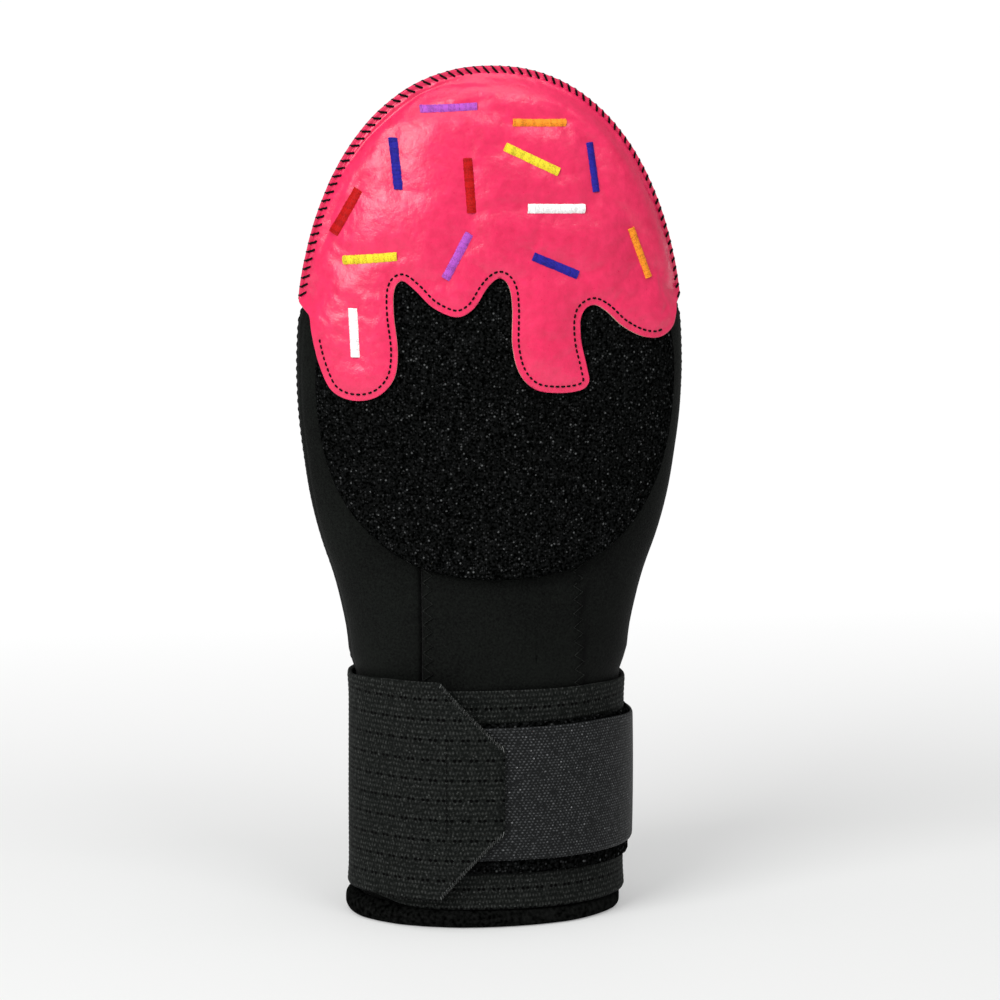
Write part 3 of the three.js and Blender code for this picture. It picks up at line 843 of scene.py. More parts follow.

# %% [markdown]
# The leather is a smooth faux leather with a soft, plastic-like gloss. Its colour is a strong pink that
# wanders a little at random, with painted shade that darkens it in the hollows of its fine creases, and
# its grain is so fine that it shows only as a slight break in the highlights.
# The cut edge along the drips shows the pale fabric core, so the sheet's edge has a material of its own,
# which an attribute on the mesh turns back to pink along the whipstitched rim.


# %% Pink leather
PINK_TONES = (0.68, 0.011, 0.076), (0.88, 0.022, 0.118)
CUT = "cut"


def pink_leather():
    """Smooth pink leather with fine pores and soft creases, its colour darker in the crease hollows as
    painted shade.
    """
    made, tree, shader = new_material("pink_leather", 0.4, Specular_IOR_Level=0.6)
    place = place_of(tree)
    skin = use_group(tree, GRAIN, place, Grain_Scale=900, Wander_Scale=30)
    creases = use_group(tree, GRAIN, place, Grain_Scale=330, Wander_Scale=110)
    # Painted shade: the crease heights that raise the bump also darken the colour in the crease hollows.
    tone = math_node(tree, "MULTIPLY_ADD", skin.outputs["Wander"], 0.4, 0.0)
    tone = math_node(tree, "MULTIPLY_ADD", creases.outputs["Height"], 0.6, tone)
    colour = two_tone(tree, tone, *PINK_TONES, 0.3, 0.7)
    tree.links.new(colour, shader.inputs["Base Color"])
    rough = math_node(tree, "MULTIPLY_ADD", skin.outputs["Height"], 0.3, 0.19)
    tree.links.new(rough, shader.inputs["Roughness"])
    pores = node(tree, "ShaderNodeTexVoronoi", {"Vector": place, "Scale": 1100}, feature="DISTANCE_TO_EDGE")
    height = math_node(tree, "MULTIPLY_ADD", pores.outputs["Distance"], 0.6, skin.outputs["Height"])
    height = math_node(tree, "MULTIPLY_ADD", creases.outputs["Height"], 3.6, height)
    height = math_node(tree, "MULTIPLY_ADD", creases.outputs["Wander"], 10.0, height)
    raise_normal(tree, shader, height, 0.1 * MM, 0.6)
    return made


def cut_core():
    """The sheet's edge: pale felt where it is cut, and pink where it is stitched."""
    made, tree, shader = new_material("leather_core", 0.85)
    felt = use_group(tree, GRAIN, place_of(tree), Grain_Scale=1500, Wander_Scale=300)
    pale = two_tone(tree, felt.outputs["Height"], (0.5, 0.3, 0.22), (0.7, 0.46, 0.35))
    pink = two_tone(tree, felt.outputs["Wander"], *PINK_TONES)
    is_cut = node(tree, "ShaderNodeAttribute", attribute_name=CUT).outputs["Fac"]
    tree.links.new(mixed(tree, is_cut, pink, pale), shader.inputs["Base Color"])
    raise_normal(tree, shader, felt.outputs["Height"], 0.1 * MM)
    return made


PINK = pink_leather()
CORE = cut_core()

# %% [markdown]
# Thin leather over a soft pad is never smooth. It is held flat by the whipstitch at the rim, by the
# running stitch along the drips and by every embroidered bar, and between them it swells. Bumps could be
# sculpted by hand, but a cloth simulation finds the folds for itself: the sewn points are pinned, the
# sheet is given a little spare size, and air pressure from inside stands for the pad.

# %% Swelling cloth
LEATHER_BEND = 0.3
SPARE = 0.013
PRESSURE = 340
SETTLE = 30


def swell(obj, sewn, spare, pressure, frames):
    """Where a sheet's points come to rest when it swells between the points that are sewn down."""
    pins = obj.vertex_groups.new(name="sewn")
    pins.add(sewn, 1.0, "REPLACE")
    cloth = obj.modifiers.new("swell", "CLOTH")
    rules = cloth.settings
    rules.quality = 6
    rules.mass = 0.002
    rules.tension_stiffness = 15
    rules.compression_stiffness = 15
    rules.shear_stiffness = 5
    rules.bending_stiffness = LEATHER_BEND
    rules.air_damping = 1
    rules.vertex_group_mass = pins.name
    rules.shrink_min = -spare
    rules.use_pressure = True
    rules.uniform_pressure_force = pressure
    rules.effector_weights.gravity = 0
    cloth.collision_settings.use_collision = False
    scene = bpy.context.scene
    for frame in range(1, frames + 1):
        scene.frame_set(frame)
    rested = obj.evaluated_get(bpy.context.evaluated_depsgraph_get()).to_mesh()
    places = [vert.co.copy() for vert in rested.vertices]
    obj.modifiers.remove(cloth)
    obj.vertex_groups.remove(pins)
    scene.frame_set(1)
    return places


print("each leather sheet gets", SETTLE, "frames to swell")

# %% [markdown]
# Both caps are cut from their outlines in the plan, swelled, and kept from sinking into the mitt. The back
# of the tip is hidden in the photo, so it is finished plainly, with one shallow curved lower edge. The
# finished faces also go into search trees, so stitches and bars can be laid on the real folds later.

# %% Leather caps
PLAN_ROUND = 0.9
PLAN_IN = 1 / 68
BACK_DROP = 24 * MM
EDGE_SEWN = STITCH_IN + 0.3 * MM
RIM_SEWN = 1.8 * MM
BAR_SEWN = BAR_WIDE * 0.42
LEATHER_FACES = {}


def rim_angle():
    """The plan angle at which the rim ends on the right."""
    return math.degrees(math.atan2(RIM_END - PLAN_CENTRE, outline_half(RIM_END)))


def back_edge():
    """The back cap's lower edge from left to right."""
    half = outline_half(RIM_END) - 0.5 * MM
    return [Vector((half * i / 40, RIM_END - BACK_DROP * (1 - (i / 40) ** 2))) for i in range(-40, 41)]


def cap_outline(edge):
    """A cap's outline in the plan: its lower edge, then the rim back over the tip."""
    right = rim_angle()
    rim = [(right + i * (180 - 2 * right) / 240, 1.0) for i in range(241)]
    return [to_plan(point) for point in edge] + rim


def cap(name, edge, bars, facing):
    """A leather cap laid on the form, swelled between its stitches and made thick."""
    bm = sliced(cap_outline(edge), PLAN_ROUND, PLAN_IN)
    for vert in bm.verts:
        vert.co = leather_form(*from_plan(vert.co.x, vert.co.y), facing)[0]
    bmesh.ops.remove_doubles(bm, verts=bm.verts, dist=0.2 * MM)
    facing_out(bm)
    sheet = piece(name.replace("_cap", ""), bm, "pink_leather", [name], [PINK, CORE])
    mesh = sheet.data
    edge_tree = tree_of(edge)
    cut = mesh.attributes.new(CUT, "FLOAT", "POINT")
    sewn = []
    for vert in mesh.vertices:
        point = Vector((vert.co.x, vert.co.z))
        from_edge = edge_tree.find((point.x, point.y, 0))[2]
        cut.data[vert.index].value = 1 - ease(from_edge, MM, 3 * MM)
        on_bar = any(distance_to(point, line) < BAR_SEWN for line in bars)
        if from_edge < EDGE_SEWN or rim_inside(point) < RIM_SEWN or on_bar:
            sewn.append(vert.index)
    heights = []
    for vert, place in zip(mesh.vertices, swell(sheet, sewn, SPARE, PRESSURE, SETTLE)):
        out = leather_form(vert.co.x, vert.co.z, facing)[1]
        height = (place - vert.co).dot(out)
        vert.co = place + out * (max(height, 0) - height)
        heights.append(height)
    LEATHER_FACES[facing] = bvhtree.BVHTree.FromPolygons(
        [vert.co for vert in mesh.vertices], [face.vertices for face in mesh.polygons])
    print(name, len(sewn), "sewn points, highest swelling", round(max(heights) / MM, 2), "mm")
    smooth = sheet.modifiers.new("smooth", "SUBSURF")
    smooth.levels = smooth.render_levels = 1
    thicken(sheet, LEATHER_THICK, rim=1)


def leather_at(x, z, facing=-1):
    """A point on the finished leather and the direction out of it, found by a ray from outside."""
    point, normal, _, _ = LEATHER_FACES[facing].ray_cast(Vector((x, facing, z)), Vector((0, -facing, 0)))
    return (point, normal) if point else leather_form(x, z, facing)


BACK = back_edge()
cap("leather_front_cap", DRIP, BAR_LINES, -1)
cap("leather_back_cap", BACK, [], 1)

# %% [markdown]
# The whipstitch holds the two caps together: black thread goes through both rims, over the edge and back
# again, and each turn leans the same way as it travels round the tip. One short path with a slant is
# repeated at even steps along the rim.

# %% Whipstitch
WHIP_PITCH = 3.15 * MM
WHIP_REACH = 2.2 * MM
WHIP_LEAN = 1.9 * MM
WHIP_THREAD = 0.4 * MM
WHIP_UNEVEN = 0.12
WHIP_SHORTER = 0.35

# Shares of the way from the hole to the edge, each with its height over the leather in mm
WHIP_ARCH = ((0, -0.5), (0.12, 0.25), (0.3, 0.4), (0.5, 0.45), (0.7, 0.4), (0.88, 0.3))


def rim_walk(step):
    """Evenly spaced places along the rim from left to right, each with its inward direction."""
    right = rim_angle()
    fine = [Vector(from_plan(180 - right - i * (180 - 2 * right) / 3000, 1.0)) for i in range(3001)]
    walked, target, found = 0.0, step / 2, []
    for a, b in zip(fine, fine[1:]):
        walked += (b - a).length
        if walked >= target:
            along = (b - a).normalized()
            found.append((b, along, Vector((along.y, -along.x))))
            target += step
    return found


def whip_paths():
    """One leaning loop of thread a stitch: down the front face, over the edge and up the back face."""
    paths = []
    for spot, along, inward in rim_walk(WHIP_PITCH):
        uneven = 1 + WHIP_UNEVEN * noise.noise(Vector((spot.x, spot.y, 0)) / (4 * MM))
        size = (1 - WHIP_SHORTER * ease(spot.x, 0, HAND_HALF)) * uneven
        edge = spot + inward * WHIP_THREAD * 0.3
        path = []
        for facing in (-1, 1):
            hole = spot + (inward * WHIP_REACH - facing * along * WHIP_LEAN) * size
            side = []
            for share, lift in WHIP_ARCH:
                flat = hole.lerp(edge, share)
                point, _ = leather_at(flat.x, flat.y, facing)
                side.append(point + Vector((0, facing * lift * MM, 0)))
            path += side if facing < 0 else [Vector((edge.x, SEAM_PLANE, edge.y))] + side[::-1]
        paths.append(path)
    return paths


whips = whip_paths()
threads("rim_whipstitch", whips, WHIP_THREAD, "black_fabric", THREAD_BLACK, 2)
print(len(whips), "whipstitches")

# %% [markdown]
# The drip edge is sewn down with a running stitch: equal dashes of black thread that dive into the
# leather at both ends. They follow the drip line at a fixed distance inside it.

# %% Running stitch
RUN_PITCH = 2.05 * MM
RUN_DASH = 1.05 * MM
RUN_THREAD = 0.36 * MM
RUN_SIDE_LEFT = -58 * MM
RUN_TOP_LEFT = 211 * MM
RUN_END_RIGHT = 61.5 * MM

# Shares of the way along a dash, each with its height over the leather in mm
RUN_ARCH = ((0, -0.4), (0.15, 0.05), (0.5, 0.16), (0.85, 0.05), (1, -0.4))


def inner_line(edge):
    """The stitch line: an edge moved inwards, without the loops that tight turns would leave."""
    edge_tree = tree_of(edge)
    line = []
    for a, b in zip(edge, edge[1:]):
        along = (b - a).normalized()
        point = (a + b) / 2 + Vector((-along.y, along.x)) * STITCH_IN
        if edge_tree.find((point.x, point.y, 0))[2] > STITCH_IN * 0.96:
            line.append(point)
    return line


def run_paths(line, facing):
    """Dashes at even steps along a line on the leather."""
    spots, walked = [], 0.0
    for a, b in zip(line, line[1:]):
        steps = max(1, round((b - a).length / (0.25 * MM)))
        for i in range(steps):
            spots.append((walked + (b - a).length * i / steps, a.lerp(b, i / steps)))
        walked += (b - a).length
    paths = []
    for i in range(int(walked / RUN_PITCH)):
        dash = []
        for share, lift in RUN_ARCH:
            along = i * RUN_PITCH + share * RUN_DASH
            spot = min(spots, key=lambda known: abs(known[0] - along))[1]
            point, out = leather_at(spot.x, spot.y, facing)
            dash.append(point + out * lift * MM)
        paths.append(dash)
    return paths


def sewn_here(point):
    """Whether the running stitch shows here: it starts below the rim and ends before the right side."""
    on_left_side = point.x < RUN_SIDE_LEFT and point.y > RUN_TOP_LEFT
    return point.x < RUN_END_RIGHT and not on_left_side


drip_line = [point for point in inner_line(DRIP) if sewn_here(point)]
runs = run_paths(drip_line, -1) + run_paths(inner_line(BACK)[2:-2], 1)
threads("drip_running_stitch", runs, RUN_THREAD, "black_fabric", THREAD_BLACK, 2)
print(len(runs), "running stitches")

# %% [markdown]
# Each bar is satin stitch: threads laid side by side across a narrow strip, so tight that they read as
# one shiny block with a fine grain across it. A flat block with stripes would look printed. Here every
# thread is a small arch over the bar's width, and the ends wander a little as a machine's do.

# %% Embroidered bars
SATIN_PITCH = 0.46 * MM
SATIN_THREAD = 0.29 * MM
SATIN_HIGH = 0.7 * MM
SATIN_SLANT = 0.06
SATIN_JITTER = 0.12
SATIN_SUNK = 0.05 * MM
THREADS = {
    "purple": (0.5, 0.105, 0.59),
    "orange": (1.0, 0.34, 0.025),
    "blue": (0.022, 0.018, 0.33),
    "yellow": (0.93, 0.76, 0.04),
    "red": (0.53, 0.006, 0.006),
    "white": (0.97, 0.97, 0.96),
}


def thread_material(colour, tone):
    """Shiny thread: every strand has its own tone, read from the strand's number on the mesh."""
    made, tree, shader = new_material(colour + "_satin", 0.5, Specular_IOR_Level=0.15)
    fibre = use_group(tree, GRAIN, place_of(tree), Grain_Scale=2200, Wander_Scale=900)
    strand = node(tree, "ShaderNodeAttribute", attribute_name="strand").outputs["Fac"]
    share = math_node(tree, "MULTIPLY", strand, 0.12)
    share = math_node(tree, "MULTIPLY_ADD", fibre.outputs["Height"], 0.9, share)
    dark = tuple(channel * (0.8 if colour == "white" else 0.64) for channel in tone)
    tree.links.new(two_tone(tree, share, dark, tone, 0.3, 0.5), shader.inputs["Base Color"])
    raise_normal(tree, shader, fibre.outputs["Height"], 0.06 * MM)
    return made


SATIN = {colour: thread_material(colour, tone) for colour, tone in THREADS.items()}


def satin_bar(name, row):
    """One bar: arched threads side by side along its middle line."""
    start, end = bar_line(row)
    along = (end - start).normalized()
    across = Vector((-along.y, along.x)) * (BAR_WIDE * row[4] / 2 - SATIN_THREAD)
    paths = []
    for i in range(int(((end - start).length - 2 * SATIN_THREAD) / SATIN_PITCH) + 1):
        middle = start + along * (i * SATIN_PITCH + SATIN_THREAD)
        jitter = noise.noise(Vector((i * 1.7, len(name), row[1] * 50))) * SATIN_JITTER
        arch = []
        for step in range(-3, 4):
            share = step / 3
            flat = middle + across * (share * (1 + jitter)) + along * share * SATIN_SLANT * MM
            point, out = leather_at(flat.x, flat.y)
            arch.append(point + out * (SATIN_HIGH * (1 - abs(share) ** 2.5) - SATIN_SUNK))
        paths.append(arch)
    colour = name.split("_")[1]
    made = threads(name + "_satin", paths, SATIN_THREAD, colour + "_thread", SATIN[colour])
    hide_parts(name)


for name, row in BARS.items():
    satin_bar(name, row)

# %% [markdown]
# The pad under the leather is faced with short loop pile, the soft half of a hook-and-loop closure. From
# a distance it is a deep black field full of tiny sparkles. Real loops by the hundred thousand would be
# too heavy, so the pad gets a fine grid with a small random relief, a rounded melted rim, and a material
# with painted glints: pale specks in its colour stand for the loops that catch the light.


# %% Black pile
def pile_material(name, scale, depth):
    """Deep black loops with painted glints: many faint pale specks and a few bright ones."""
    made, tree, shader = new_material(name, 0.95, Specular_IOR_Level=0.0)
    place = place_of(tree)
    fuzz = use_group(tree, GRAIN, place, Grain_Scale=scale, Wander_Scale=60)
    colour = two_tone(tree, fuzz.outputs["Height"], BLACK, (0.009, 0.0095, 0.0095), 0.4, 0.75)
    # Painted glints: faint and bright pale specks in the colour stand for light caught by single loops.
    small = use_group(tree, SPARKS, place, Scale=scale * 1.2, Rarity=0.75, Size=0.45)
    bright = use_group(tree, SPARKS, place, Scale=scale, Rarity=0.93, Size=0.4)
    colour = mixed(tree, small.outputs["Mask"], colour, (0.035, 0.036, 0.037))
    colour = mixed(tree, bright.outputs["Mask"], colour, (0.13, 0.135, 0.135))
    tree.links.new(colour, shader.inputs["Base Color"])
    raise_normal(tree, shader, fuzz.outputs["Height"], depth)
    return made


def fused_edge():
    """The pad's melted rim, smooth and nearly black."""
    made, tree, shader = new_material("fused_edge", 0.5)
    melted = use_group(tree, GRAIN, place_of(tree), Grain_Scale=800, Wander_Scale=100)
    tones = two_tone(tree, melted.outputs["Wander"], (0.004, 0.004, 0.004), (0.012, 0.012, 0.012))
    tree.links.new(tones, shader.inputs["Base Color"])
    raise_normal(tree, shader, melted.outputs["Height"], 0.15 * MM)
    return made


PILE = pile_material("black_pile", 1100, 0.5 * MM)
FUSED = fused_edge()
print("pile and its melted edge:", PILE.name, FUSED.name)

# %% [markdown]
# The pad is wide and full below, and narrower above, where the leather hides it. It is laid out as rings
# from its middle to its edge, with the last rings curling down to the cloth. A little noise in its height
# stands for the loops, and the two seams beneath it show as faint ridges in its lower part.

# %% Pile pad
PAD_HALF = 65.5 * MM
PAD_DROP = 72 * MM
PAD_CENTRE = 198.5 * MM
PAD_SHIFT = 0.8 * MM
PAD_POWER = 2.5
PAD_TOP_POWER = 1.7
PAD_ROUND = 2 * MM
PAD_TOP_EDGE = HEIGHT - RIM_INSET - 10 * MM
PAD_RIDGE = 0.35 * MM
RIDGE_ASIDE = 2 * MM
RIDGE_SPREAD = 1.2 * MM
PAD_LOOPS = 0.1 * MM
PAD_SLACK = 0.4 * MM


def pad_edge(turn):
    """The pad's outline at an angle, as x and z: full and rounded below, narrower under the leather."""
    cos, sin = math.cos(turn), math.sin(turn)
    swell = 2 / (PAD_POWER if sin < 0 else PAD_TOP_POWER)
    reach = -PAD_DROP if sin < 0 else PAD_TOP_EDGE - PAD_CENTRE
    across = math.copysign(abs(cos) ** swell, cos) * (PAD_HALF - 0.3 * MM)
    return PAD_SHIFT + across, PAD_CENTRE + reach * abs(sin) ** swell


def pad_place(u, v):
    """A point of the pad: u goes round it, and v from its middle to its edge."""
    turn = 2 * math.pi * u
    edge_x, edge_z = pad_edge(turn)
    x, z = mix(PAD_SHIFT, edge_x, v), mix(PAD_CENTRE, edge_z, v)
    inside = (1 - v) * math.hypot(edge_x, edge_z - PAD_CENTRE)
    curl = PAD_ROUND - math.sqrt(max(PAD_ROUND**2 - max(PAD_ROUND - inside, 0) ** 2, 0))
    left_ridge = bump(x, SEAM_LEFT + RIDGE_ASIDE, RIDGE_SPREAD)
    right_ridge = bump(x, SEAM_RIGHT - RIDGE_ASIDE, RIDGE_SPREAD)
    seams = PAD_RIDGE * (left_ridge + right_ridge)
    loops = PAD_LOOPS * noise.noise(Vector((x, z, 0)) / (1.4 * MM))
    slack = PAD_SLACK * noise.noise(Vector((x, z, 3)) / (28 * MM))
    return on_front(x, z, PAD_TOP, loops + slack + seams * ease(z, 200 * MM, 150 * MM) - curl)


def pad_piece():
    """The pad, with the points drawn together towards its edge."""
    bm = cloth_grid(300, 90, 0.4, 0.1, lambda u, v: pad_place(u, v**0.75), closed=True)
    obj = piece("pile_pad", facing_out(bm), "black_pile", ["loop_pad"], [PILE, FUSED])
    thicken(obj, PAD_THICK - PAD_ROUND, rim=1)


pad_piece()

# %% [markdown]
# The wrist strap is one wide elastic that winds round the sleeve a little more than once. Its end climbs
# over its own start at the left and over the tape at the front, and is cut to a blunt point. The ribs of
# such webbing are deep enough to see in outline, so they are in the mesh, while the rows of tiny holes
# between them are left to the material.

# %% Straps round the wrist
ELASTIC_TALL = 78 * MM
ELASTIC_SWELL = 2 * MM
ELASTIC_THICK = 1.8 * MM
ELASTIC_RISE = 4.5 * MM
ELASTIC_FROM = -165
ELASTIC_TO = 270.8
FLAP_CHAMFER = 17.6 * MM
FLAP_END = 32 * MM
LOOP_THICK = 1.5 * MM
LOOP_TALL = 55 * MM
LOOP_RAISE = 13.7 * MM
HOOK_THICK = 1.3 * MM
HOOK_TALL = 48.5 * MM
HOOK_RAISE = 5.2 * MM
TAPE_FROM = -106
TAPE_TO = 78
CLIMB_TURN = 36
CLIMB_REST = 4
CHAMFER_TURN = math.degrees(FLAP_CHAMFER / (WRIST_FRONT + WRIST_HALF / 4))
TUCK_TURN = 45
ON_ELASTIC = CLEAR + ELASTIC_THICK + CLEAR
ON_LOOP = ON_ELASTIC + LOOP_THICK + CLEAR
ON_HOOK = ON_LOOP + HOOK_THICK + CLEAR


def elastic_out(degrees):
    """How far out the elastic's inner face lies at an angle."""
    def climb(start):
        return ease(degrees, 360 + start - CLIMB_TURN - CLIMB_REST, 360 + start - CLIMB_REST)

    return CLEAR + (ON_ELASTIC - CLEAR) * climb(ELASTIC_FROM) + (ON_HOOK - ON_ELASTIC) * climb(TAPE_FROM)


def elastic_edges(degrees):
    """The elastic's base line, then its real lower edge, tucked up at the start, and its upper edge."""
    base = LIP_HEIGHT + CLEAR + ELASTIC_RISE * ease(degrees, 0, ELASTIC_TO)
    cut = max(0, (degrees - (ELASTIC_TO - CHAMFER_TURN)) / CHAMFER_TURN)
    trim = cut * (ELASTIC_TALL + ELASTIC_SWELL - FLAP_END) / 2
    tall = ELASTIC_TALL + ELASTIC_SWELL * max(0, -math.sin(math.radians(degrees)))
    tuck = ELASTIC_RISE * ease(degrees, ELASTIC_FROM + TUCK_TURN, ELASTIC_FROM)
    return base, base + trim + tuck, base + tall - trim


def round_wrist(degrees, z, out):
    """A point on a strap: out from the sleeve at an angle."""
    return on_wall(degrees, min(z, FLARE_START - MM), (out, out, out), up=z)


def arc_table(start, end, out):
    """Real lengths along the sleeve from start, at every degree to end."""
    lengths = [0.0]
    for degrees in range(start, end):
        gap = round_wrist(degrees + 1, 0.04, out) - round_wrist(degrees, 0.04, out)
        lengths.append(lengths[-1] + gap.length)
    return lengths


ELASTIC_ARC = arc_table(ELASTIC_FROM, math.ceil(ELASTIC_TO), ELASTIC_THICK)
print("the elastic is", round(ELASTIC_ARC[-1] / MM), "mm long")

# %% [markdown]
# The elastic is one long grid laid round the wrist from its start to its cut end. Its flat coordinates
# are real lengths along and across the webbing, so knots and holes keep their size wherever the strap
# bends. The material draws the holes, since cutting hundreds of them would cost far more faces.

# %% Elastic webbing
RIB_PITCH = 1.83 * MM
RIB_HIGH = 0.16 * MM
EDGE_FLARE = 0.4 * MM
EDGE_THIN = 0.3 * MM
WEB_SLACK = 0.3 * MM
HOLE_ROW = 4 * RIB_PITCH
ROWS_BELOW = 20
HOLE_FIRST = ELASTIC_TALL - 4.6 * MM
HOLE_PITCH = 5.25 * MM
HOLE_APART = 0.85 * MM
HOLE_RADIUS = 0.58 * MM


def elastic_holes(tree, flat):
    """A mask of the small holes: pairs in rows, each row half a pitch further along."""
    parts = node(tree, "ShaderNodeSeparateXYZ", {0: flat})
    height = math_node(tree, "SUBTRACT", parts.outputs["Y"], HOLE_FIRST - ROWS_BELOW * HOLE_ROW)
    row = math_node(tree, "ROUND", math_node(tree, "DIVIDE", height, HOLE_ROW))
    odd = math_node(tree, "MODULO", row, 2)
    along = math_node(tree, "MULTIPLY_ADD", odd, HOLE_PITCH / 2, parts.outputs["X"])
    from_pair = math_node(tree, "PINGPONG", along, HOLE_PITCH / 2)
    across = math_node(tree, "SUBTRACT", from_pair, HOLE_APART)
    upward = math_node(tree, "PINGPONG", height, HOLE_ROW / 2)
    square = math_node(tree, "MULTIPLY", across, across)
    distance = math_node(tree, "MULTIPLY_ADD", upward, upward, square)
    return math_node(tree, "LESS_THAN", distance, HOLE_RADIUS**2)


def elastic_material():
    """Dark grey webbing: rows of small knots with painted glints on some, and rows of holes."""
    made, tree, shader = new_material("elastic_webbing", 0.7, Specular_IOR_Level=0.04, Sheen_Weight=0.01)
    flat = place_of(tree, flat=True)
    cloth = use_group(tree, GRAIN, place_of(tree), Grain_Scale=1000, Wander_Scale=45)
    shift = (0, (ROWS_BELOW + 1 / 8) * HOLE_ROW - HOLE_FIRST, 0)
    shifted = node(tree, "ShaderNodeMapping", {0: flat, "Location": shift})
    knots = use_group(tree, LATTICE, shifted.outputs[0], Across=1.15 * MM, Along=RIB_PITCH)
    grain = math_node(tree, "MULTIPLY_ADD", cloth.outputs["Height"], 2.6, -0.9)
    tone = math_node(tree, "MULTIPLY", math_node(tree, "ADD", knots.outputs["Height"], 0.25), grain)
    colour = two_tone(tree, tone, (0.005, 0.006, 0.0053), (0.046, 0.049, 0.046), 0.08, 0.95)
    # Painted glints: some specks get a lighter grey for light caught on single fibres.
    lit = use_group(tree, SPARKS, place_of(tree), Scale=1100, Rarity=0.9, Size=0.35)
    colour = mixed(tree, lit.outputs["Mask"], colour, (0.07, 0.074, 0.07))
    hole = elastic_holes(tree, flat)
    colour = mixed(tree, hole, colour, (0.0001, 0.0001, 0.0001))
    tree.links.new(colour, shader.inputs["Base Color"])
    height = math_node(tree, "MULTIPLY_ADD", hole, -1.5, tone)
    raise_normal(tree, shader, height, 0.3 * MM)
    return made


ELASTIC = elastic_material()


def elastic_face(degrees, z):
    """A point on the elastic's outer face, with its ribs and the flare of its edges."""
    base, low, high = elastic_edges(degrees)
    rib = RIB_HIGH * (abs(math.sin(math.pi * (z - base - HOLE_FIRST) / RIB_PITCH)) - 0.5)
    edge = min(z - low, high - z)
    slack = noise.noise(Vector((degrees / 40, z / (30 * MM), 1)))
    flare = EDGE_FLARE * bump(edge, 0, 5 * MM) + WEB_SLACK * slack
    thin = EDGE_THIN * bump(edge, 0, 0.5 * MM)
    return round_wrist(degrees, z, elastic_out(degrees) + ELASTIC_THICK + rib + flare - thin)


def elastic_piece():
    """The whole strap as one grid, with real lengths as its flat coordinates."""
    bm = bmesh.new()
    bmesh.ops.create_grid(bm, x_segments=176, y_segments=212, size=0.5)
    flat = bm.loops.layers.uv.new(FLAT)
    places = {}
    for vert in bm.verts:
        degrees = mix(ELASTIC_FROM, ELASTIC_TO, vert.co.x + 0.5)
        base, low, high = elastic_edges(degrees)
        z = mix(low, high, vert.co.y + 0.5)
        whole = int(min(degrees - ELASTIC_FROM, len(ELASTIC_ARC) - 2))
        along = mix(ELASTIC_ARC[whole], ELASTIC_ARC[whole + 1], degrees - ELASTIC_FROM - whole)
        places[vert] = (along, z - base)
        vert.co = elastic_face(degrees, z)
    for face in bm.faces:
        for loop in face.loops:
            loop[flat].uv = places[loop.vert]
    facing_out(bm)
    obj = piece("elastic_webbing", bm, "elastic", ["elastic_strap"], [ELASTIC])
    thicken(obj, ELASTIC_THICK - 0.2 * MM)


elastic_piece()

# %% [markdown]
# The cut end of the elastic would fray, so a fine overlock thread runs along the slanted cuts, and one
# straight row of stitches holds the flap's pile behind it. Both are threads laid on the same face.

# %% Flap stitches
OVERLOCK_WIDE = 1.9 * MM
OVERLOCK_STEP = 0.55 * MM
FLAP_THREAD = 0.17 * MM
LINE_THREAD = 0.22 * MM
LINE_PITCH = 2.6 * MM

# Millimetres along a stitch of the flap's line, each with its height over the webbing in mm
LINE_ARCH = ((0, -0.3), (0.3, 0.12), (1.6, 0.12), (1.9, -0.3))
FLAP_LINE = 250.5
FLAP_LINE_ENDS = (36 * MM, 69 * MM)
THREAD_GREY = black_cloth("grey_overlock", (0.03, 0.032, 0.03), (0.2, 0.205, 0.2), 900, 0.05 * MM, 0.02, 0.6)


def chamfer_stitches(upper):
    """A zigzag over the upper or the lower slanted cut."""
    count = int((ELASTIC_TALL - FLAP_END) / 1.45 / OVERLOCK_STEP)
    path = []
    for i in range(count):
        degrees = ELASTIC_TO - CHAMFER_TURN * (1 - i / count)
        _, low, high = elastic_edges(degrees)
        inside = (0.15 * MM if i % 2 else OVERLOCK_WIDE)
        z = high - inside if upper else low + inside
        path.append(elastic_face(degrees, z) + Vector((0, -0.22 * MM, 0)))
    return path


def flap_line():
    """Straight stitches down the flap, sunk between them."""
    low, high = FLAP_LINE_ENDS
    count = int((high - low) / LINE_PITCH)
    paths = []
    for i in range(count):
        z = mix(low, high, i / count)
        stitch = []
        for up, lift in LINE_ARCH:
            stitch.append(elastic_face(FLAP_LINE, z + up * MM) + Vector((0, -lift * MM, 0)))
        paths.append(stitch)
    return paths


SLANTS = [chamfer_stitches(True), chamfer_stitches(False)]
threads("flap_overlock", SLANTS, FLAP_THREAD, "elastic", THREAD_GREY)
threads("flap_stitch_line", flap_line(), LINE_THREAD, "elastic", THREAD_BLACK)

# %% [markdown]
# The grey tape is hook tape: rows of stiff little hooks that glint. It lies on a slightly taller strip of
# pile, which shows as a thin dark line above it and as a fuzzy black band below.


